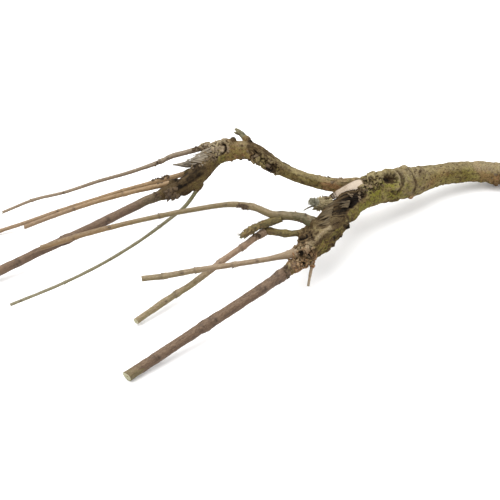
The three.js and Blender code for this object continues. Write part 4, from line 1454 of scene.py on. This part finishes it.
def dead_spike():
    """The dead end of the upper arm: a grey plate of torn fibres with one long spike."""
    skin = Skin()
    grow_shoot(skin, SPIKE, [], 35, end="snap", around=30, spacing=0.6, bark=1.8)
    for k in range(14):
        share = k / 13
        start, out, run = ARM.spot(128 + 22 * share, -26 + 40 * scatter(k, GOLDEN), 0.2)
        aside = np.cross(out, run)
        tip, _, _ = SPIKE.spot(SPIKE.length * (0.25 + 0.5 * scatter(k, 0.37)), 0, 0.1)
        goal = start + (tip - start) * (0.5 + 0.3 * scatter(k, 0.71)) + aside * (2.2 * math.sin(2.4 * k))
        u = np.linspace(0, 1, 9)[:, None]
        course = start * (1 - u) + goal * u + out * (0.9 * np.sin(math.pi * u) + 0.35 * u)
        splinter(skin, course, 2.1 + 0.8 * math.sin(k), 0.45, out, 40 + k, 0,
                 pale=0.5 + 0.4 * math.sin(k * 1.9), dark=0.15 * (k % 3))
    wood = dead_wood_look("spike_wood", 0x857a69, 0xb0a28c, 0x453d37)
    skin.piece("dead_spike_wood", [wood, DULL_CUT], "dead_wood", "dead_spike")


def torn_wood():
    """Splinters and flakes that stand up out of the torn fork."""
    skin = Skin()
    for k in range(30):
        s = 222 + 36 * scatter(k, GOLDEN)
        side = -38 + 70 * scatter(k, 0.381, 0.2)
        start, out, run = LIMB.spot(s, side, -0.9)
        aside = np.cross(out, run)
        length = 7 + 7 * scatter(k, 0.73)
        way = unit(run - aside * (0.6 + 0.2 * math.sin(k)))
        u = np.linspace(0, 1, 9)[:, None]
        lift = 0.3 + 1.3 * scatter(k, 0.29)
        course = start + way * length * u + out * (lift * np.sin(2.2 * u) + 0.5 * u) - out * 1.6 * u**2
        splinter(skin, course, 1.5 + 0.9 * scatter(k, 0.47), 0.4, out, 60 + k, 0,
                 dark=0.5 * scatter(k, 0.53), pale=0.5 * scatter(k, 0.31))
    wood = dead_wood_look("torn_wood", 0x5f4f36, 0x8d7a59, 0x2c2115)
    skin.piece("torn_wood_splinters", [wood], "old_bark")


# Loose scales and flakes on the old wood: stem, from, to, from side, to side, how many, how long.
FLAKES = [
    (LIMB, 288, 301, -110, 80, 22, 3.2), (LIMB, 182, 204, -40, 70, 16, 4.4),
    (LIMB, 28, 44, -130, -50, 12, 2.8), (LIMB, 204, 216, -46, 0, 8, 3.4),
    (ARM, 128, 142, -56, 80, 26, 3.6), (ARM, 74, 92, -120, -50, 8, 3.4), (ARM, 0, 22, -30, 60, 12, 3.4),
    (ARM, 140, 156, -30, 40, 12, 3.2), (ARM, 94, 116, -150, 40, 8, 2.2), (ARCH, 0, 14, -180, 180, 16, 3.4),
]


def loose_flakes():
    """Small curled flakes of bark, thickest where the old wood is cracked."""
    skin = Skin()
    step = 0
    for stem, low, high, side_low, side_high, count, length in FLAKES:
        for k in range(count):
            step += 1
            s = low + (high - low) * scatter(k, GOLDEN, 0.13)
            side = side_low + (side_high - side_low) * scatter(k, 0.414, 0.37)
            point, out, run = stem.spot(s, side, -0.45)
            turn = 0.9 * math.sin(step * 2.3)
            aside = np.cross(out, run)
            way = unit(run * math.cos(turn) + aside * math.sin(turn) + out * 0.15)
            size = length * (0.6 + 0.6 * scatter(step, 0.754))
            scale_shell(skin, point, out, way, size, size * 0.8, 0.12 + 0.14 * scatter(step, 0.57), 0, 0.35,
                        dark=0.9 * scatter(step, 0.37), pale=0.9 * scatter(step, 0.23))
    flakes = scale_look("bark_flakes", 0x6d5a3f, 0xa08a6a, 0x38291a)
    skin.piece("bark_flakes", [flakes], "old_bark")


# Clusters of old bud scales: stem, back from the tip, side, how many, how long, how far out.
CLUSTERS = [
    (ARM, 4, -82, 16, 4.6, 3.0), (DARK, 196, -85, 30, 4.6, 3.6), (DARK, 186, -50, 10, 3.6, 0.4),
    (TAN_BACK, 173, 30, 13, 3.8, 0.5), (TAN_BACK, 164, 30, 9, 3.2, 0.4), (TAN_FRONT, 131, 10, 8, 2.8, 0.0),
    (ARCH, 187, -110, 16, 3.6, 0.2), (ARCH, 182, -85, 12, 3.2, 0.0), (TOP, 189, -30, 12, 3.2, 0.3),
    (CROSS, 134, -40, 12, 3.2, 0.2), (GREEN, 2, 20, 10, 3.0, 0.3), (THICK, 166, -20, 14, 3.4, 0.8),
    (THICK, 163, -120, 10, 3.0, 0.4), (TOP, 150, -60, 5, 2.6, 0.0), (ARM, 114, -96, 10, 3.4, 2.6),
]


def scale_clusters():
    """What is left of old buds at the feet of the shoots."""
    skin = Skin()
    step = 0
    for stem, back, side, count, length, out_by in CLUSTERS:
        for k in range(count):
            step += 1
            s = stem.back(back) + 2.6 * math.sin(2.4 * k)
            around = side + 34 * math.sin(1.7 * k + 0.5)
            point, out, run = stem.spot(s, around, out_by * (0.6 + 0.4 * math.cos(1.7 * k)) - 0.35)
            aside = np.cross(out, run)
            turn = 0.7 * math.sin(step * 1.9)
            way = unit(run * math.cos(turn) + aside * math.sin(turn) + out * (0.12 + 0.16 * math.sin(step)))
            size = length * (0.75 + 0.4 * scatter(step, GOLDEN))
            scale_shell(skin, point, out, way, size, size * 0.72, 0.2, 0, 0.8, dark=0.6 * scatter(step, 0.41))
    skin.piece("old_bud_scales", [OLD_SCALES], "old_bark")


# ------------------------------------------------------------------ lichen

# How many sides a thread of lichen has.
THREAD_SIDES = 5


def lichen_spur():
    """The crusted spur and the fluffy tuft of lichen at its end."""
    rng = np.random.default_rng(7)
    skin = Skin()
    SPUR.radii *= 1.3
    grow_shoot(skin, SPUR, [], 45, end="snap", around=40, spacing=0.45, bark=2.4)
    for k in range(46):
        s = SPUR.length * rng.uniform(-0.4, 1.0)
        point, out, run = SPUR.spot(s, rng.uniform(-180, 180), -0.25)
        way = unit(run * rng.normal() + np.cross(out, run) * rng.normal() + out * 0.5)
        scale_shell(skin, point, out, way, rng.uniform(1.6, 3.0), rng.uniform(1.2, 2.2), 0.16, 0, 0.5,
                    pale=rng.uniform(0, 1), algae=rng.uniform(0, 0.7))
    crust = dead_wood_look("lichen_crust", 0x9c8b66, 0xc0b088, 0x4a3f2a)
    skin.piece("lichen_spur_crust", [crust, DULL_CUT, LICHEN], "lichen", "lichen_spur")
    tuft = Skin()
    # Painted shade: each thread is darker towards its root, deep in the tuft.
    shaded = np.append(np.repeat([0.6, 0.35, 0.1, 0, 0, 0], THREAD_SIDES), [0.6, 0.0])
    low, high = (np.array(corner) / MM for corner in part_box("lichen_tuft"))
    middle = (low + high) / 2
    reach = (high - low) / 2
    for k in range(150):
        way = unit(rng.normal(size=3) + [-0.2, -0.2, 0.35])
        start = middle + way * reach * rng.uniform(0.1, 0.45) - [0, 0, reach[2] * 0.3]
        goal = middle + way * reach * rng.uniform(0.6, 0.95)
        bend = rng.normal(size=3) * 0.9
        u = np.linspace(0, 1, 6)[:, None]
        course = start * (1 - u) + goal * u + bend * np.sin(math.pi * u)
        fibre(tuft, course, rng.uniform(0.2, 0.36), THREAD_SIDES, 0, crevice=shaded)
        for _ in range(2):
            root = course[rng.integers(2, 5)]
            fork = root + unit(goal - start + rng.normal(size=3) * 1.6) * rng.uniform(0.8, 1.8)
            fibre(tuft, [root, (root + fork) / 2 + rng.normal(size=3) * 0.15, fork], 0.24, 5, 0)
    for k in range(30):
        way = unit(rng.normal(size=3))
        point = middle + way * reach * 0.55 - [0, 0, reach[2] * 0.25]
        side = unit(np.cross(way, rng.normal(size=3)))
        # Painted shade on the flakes under the threads.
        scale_shell(tuft, point, way, side, rng.uniform(1.6, 3.0), rng.uniform(1.6, 2.8), 0.3, 0, -0.5,
                    crevice=0.2)
    tuft.piece("lichen_tuft_growth", [LICHEN], "lichen", "lichen_tuft")
    twiglet = Skin()
    grow_shoot(twiglet, TWIGLET, [(5, 0)], 47, end="snap", around=16, spacing=0.4)
    olive = young_bark_look("twiglet_bark", 0x6d6242, 0x7d7252, 0x463d27, 0x9a8f70)
    twiglet.piece("fine_twiglet_bark", [olive, DULL_CUT], "olive_bark", "fine_twiglet")


def whiskers():
    """Hair-fine threads: a pale tuft at the old spur and a single thread at a shoot tip."""
    rng = np.random.default_rng(11)
    skin = Skin()
    tip, out, run = OLD.spot(OLD.length, 60, -0.5)
    for k in range(9):
        way = unit(run + 0.5 * out + rng.normal(size=3) * 0.35)
        u = np.linspace(0, 1, 7)[:, None]
        course = tip + way * rng.uniform(4, 8) * u + np.array([0, 0, 1.5]) * u**2 * rng.uniform(-0.6, 1)
        fibre(skin, course, 0.16, 4)
    point, _, run = TOP.spot(TOP.length - 4, 180)
    u = np.linspace(0, 1, 7)[:, None]
    fibre(skin, point + run * 1.5 * u + np.array([0.6, -0.4, -6.0]) * u**1.3, 0.17, 4)
    thread = dead_wood_look("whisker_threads", 0xb5ab98, 0xcfc8b8, 0x8a7f6c)
    skin.piece("whiskers", [thread], "thin_bark")


def end_grain():
    """The plain sawn end at the base of the main limb."""
    skin = Skin()
    centre, run, up, left = LIMB.frame(0.0)
    count = 96
    turn = np.linspace(0, TURN, count, endpoint=False)
    way = up * np.cos(turn)[:, None] + left * np.sin(turn)[:, None]
    radius = LIMB.radius(np.zeros(count), turn)
    rings = []
    ends = []
    for share, ahead in ((0.8, 3.0), (0.965, 1.2), (0.97, 0.12), (0.955, 0.0), (0.88, 0.03), (0.75, 0.0),
                         (0.6, 0.04), (0.45, 0.0), (0.3, 0.03), (0.15, 0.0)):
        ring = centre + way * (radius * share)[:, None] + run * ahead
        rings.append(ring + run * 0.05 * noise(ring / 1.1, 9)[:, None])
        ends.append(np.full(count, share if share < 0.97 and ahead < 1 else 1.0))
    rows = len(rings)
    points = np.vstack(rings + [centre, centre + run * 3.5])
    faces = grid_faces(rows, count)
    faces += fan(rows * count, (rows - 1) * count, count, True) + fan(rows * count + 1, 0, count, False)
    skin.add(points, faces, points - centre, 0, end=np.concatenate(ends + [[0.0, 1.0]]))
    skin.piece("limb_end_grain", [END_GRAIN], "sawn_wood")


# ------------------------------------------------------------------ floor, lights and camera

# The floor lies this far, in metres, under the frame's lowest point, clear of the bark's relief.
FLOOR_DROP = 0.0004
FLOOR_HALF = 4.0
CAMERA_AIM = (-0.0168, 0.0274, 0.0)
CAMERA_HEIGHT_ANGLE = 40
CAMERA_DISTANCE = 1.0
CAMERA_LENS = 80
# The soft light overhead is brighter than the light from the sides.
SKY_LOW = 1.0
SKY_HIGH = 1.45
FLOOR_TONE = 0.95


def stage():
    mesh = bpy.data.meshes.new("floor")
    half = FLOOR_HALF
    square = [(-half, -half, 0), (half, -half, 0), (half, half, 0), (-half, half, 0)]
    mesh.from_pydata(square, [], [(0, 1, 2, 3)])
    floor = bpy.data.objects.new("floor", mesh)
    floor.location.z = -FLOOR_DROP
    bpy.context.scene.collection.objects.link(floor)
    look = Look("pale_floor")
    cloud = look.noise(look.flow(1.0, 1.0), 0.5)
    plain = (*[FLOOR_TONE] * 3, 1)
    lighter = (*[FLOOR_TONE * 1.02] * 3, 1)
    look.feed(look.shader.inputs["Base Color"], look.mix(cloud, plain, lighter))
    look.shader.inputs["Roughness"].default_value = 0.9
    look.shader.inputs["Specular IOR Level"].default_value = 0.0
    mesh.materials.append(look.material)


def lamp(name, place, size, power, aim=(0, 0, 0.03)):
    light = bpy.data.lights.new(name, "AREA")
    light.shape = "DISK"
    light.size = size
    light.energy = power
    lamp_object = bpy.data.objects.new(name, light)
    lamp_object.location = place
    way = np.array(aim) - np.array(place)
    lamp_object.rotation_euler = (math.atan2(math.hypot(way[0], way[1]), -way[2]), 0,
                                  math.atan2(-way[0], way[1]))
    bpy.context.scene.collection.objects.link(lamp_object)


def light():
    world = bpy.data.worlds.new("studio")
    world.use_nodes = True
    tree = world.node_tree
    place = tree.nodes.new("ShaderNodeTexCoord")
    split = tree.nodes.new("ShaderNodeSeparateXYZ")
    height = tree.nodes.new("ShaderNodeMapRange")
    height.interpolation_type = "SMOOTHSTEP"
    height.inputs["To Min"].default_value = SKY_LOW
    height.inputs["To Max"].default_value = SKY_HIGH
    background = tree.nodes["Background"]
    tree.links.new(place.outputs["Generated"], split.inputs[0])
    tree.links.new(split.outputs["Z"], height.inputs["Value"])
    tree.links.new(height.outputs["Result"], background.inputs["Strength"])
    background.inputs["Color"].default_value = (1.0, 1.0, 1.0, 1.0)
    bpy.context.scene.world = world
    lamp("soft_top", (-0.3, 0.3, 1.5), 1.8, 22)
    bpy.context.scene.view_settings.view_transform = "Standard"


def camera():
    tilt = math.radians(CAMERA_HEIGHT_ANGLE)
    view = bpy.data.cameras.new("camera")
    view.lens = CAMERA_LENS
    view.clip_start = 0.05
    viewer = bpy.data.objects.new("camera", view)
    x, y, z = CAMERA_AIM
    viewer.location = (x, y - CAMERA_DISTANCE * math.cos(tilt), z + CAMERA_DISTANCE * math.sin(tilt))
    viewer.rotation_euler = (math.pi / 2 - tilt, 0, 0)
    bpy.context.scene.collection.objects.link(viewer)
    bpy.context.scene.camera = viewer


OLD_BARK = old_bark_look()
LICHEN = lichen_look()

camera()
light()
stage()
old_wood([OLD_BARK])
end_grain()
sawn_stub()
snapped_stub()
dead_spike()
torn_wood()
loose_flakes()
scale_clusters()
grow_shoots()
grow_spurs()
lichen_spur()
whiskers()

bpy.context.view_layer.update()
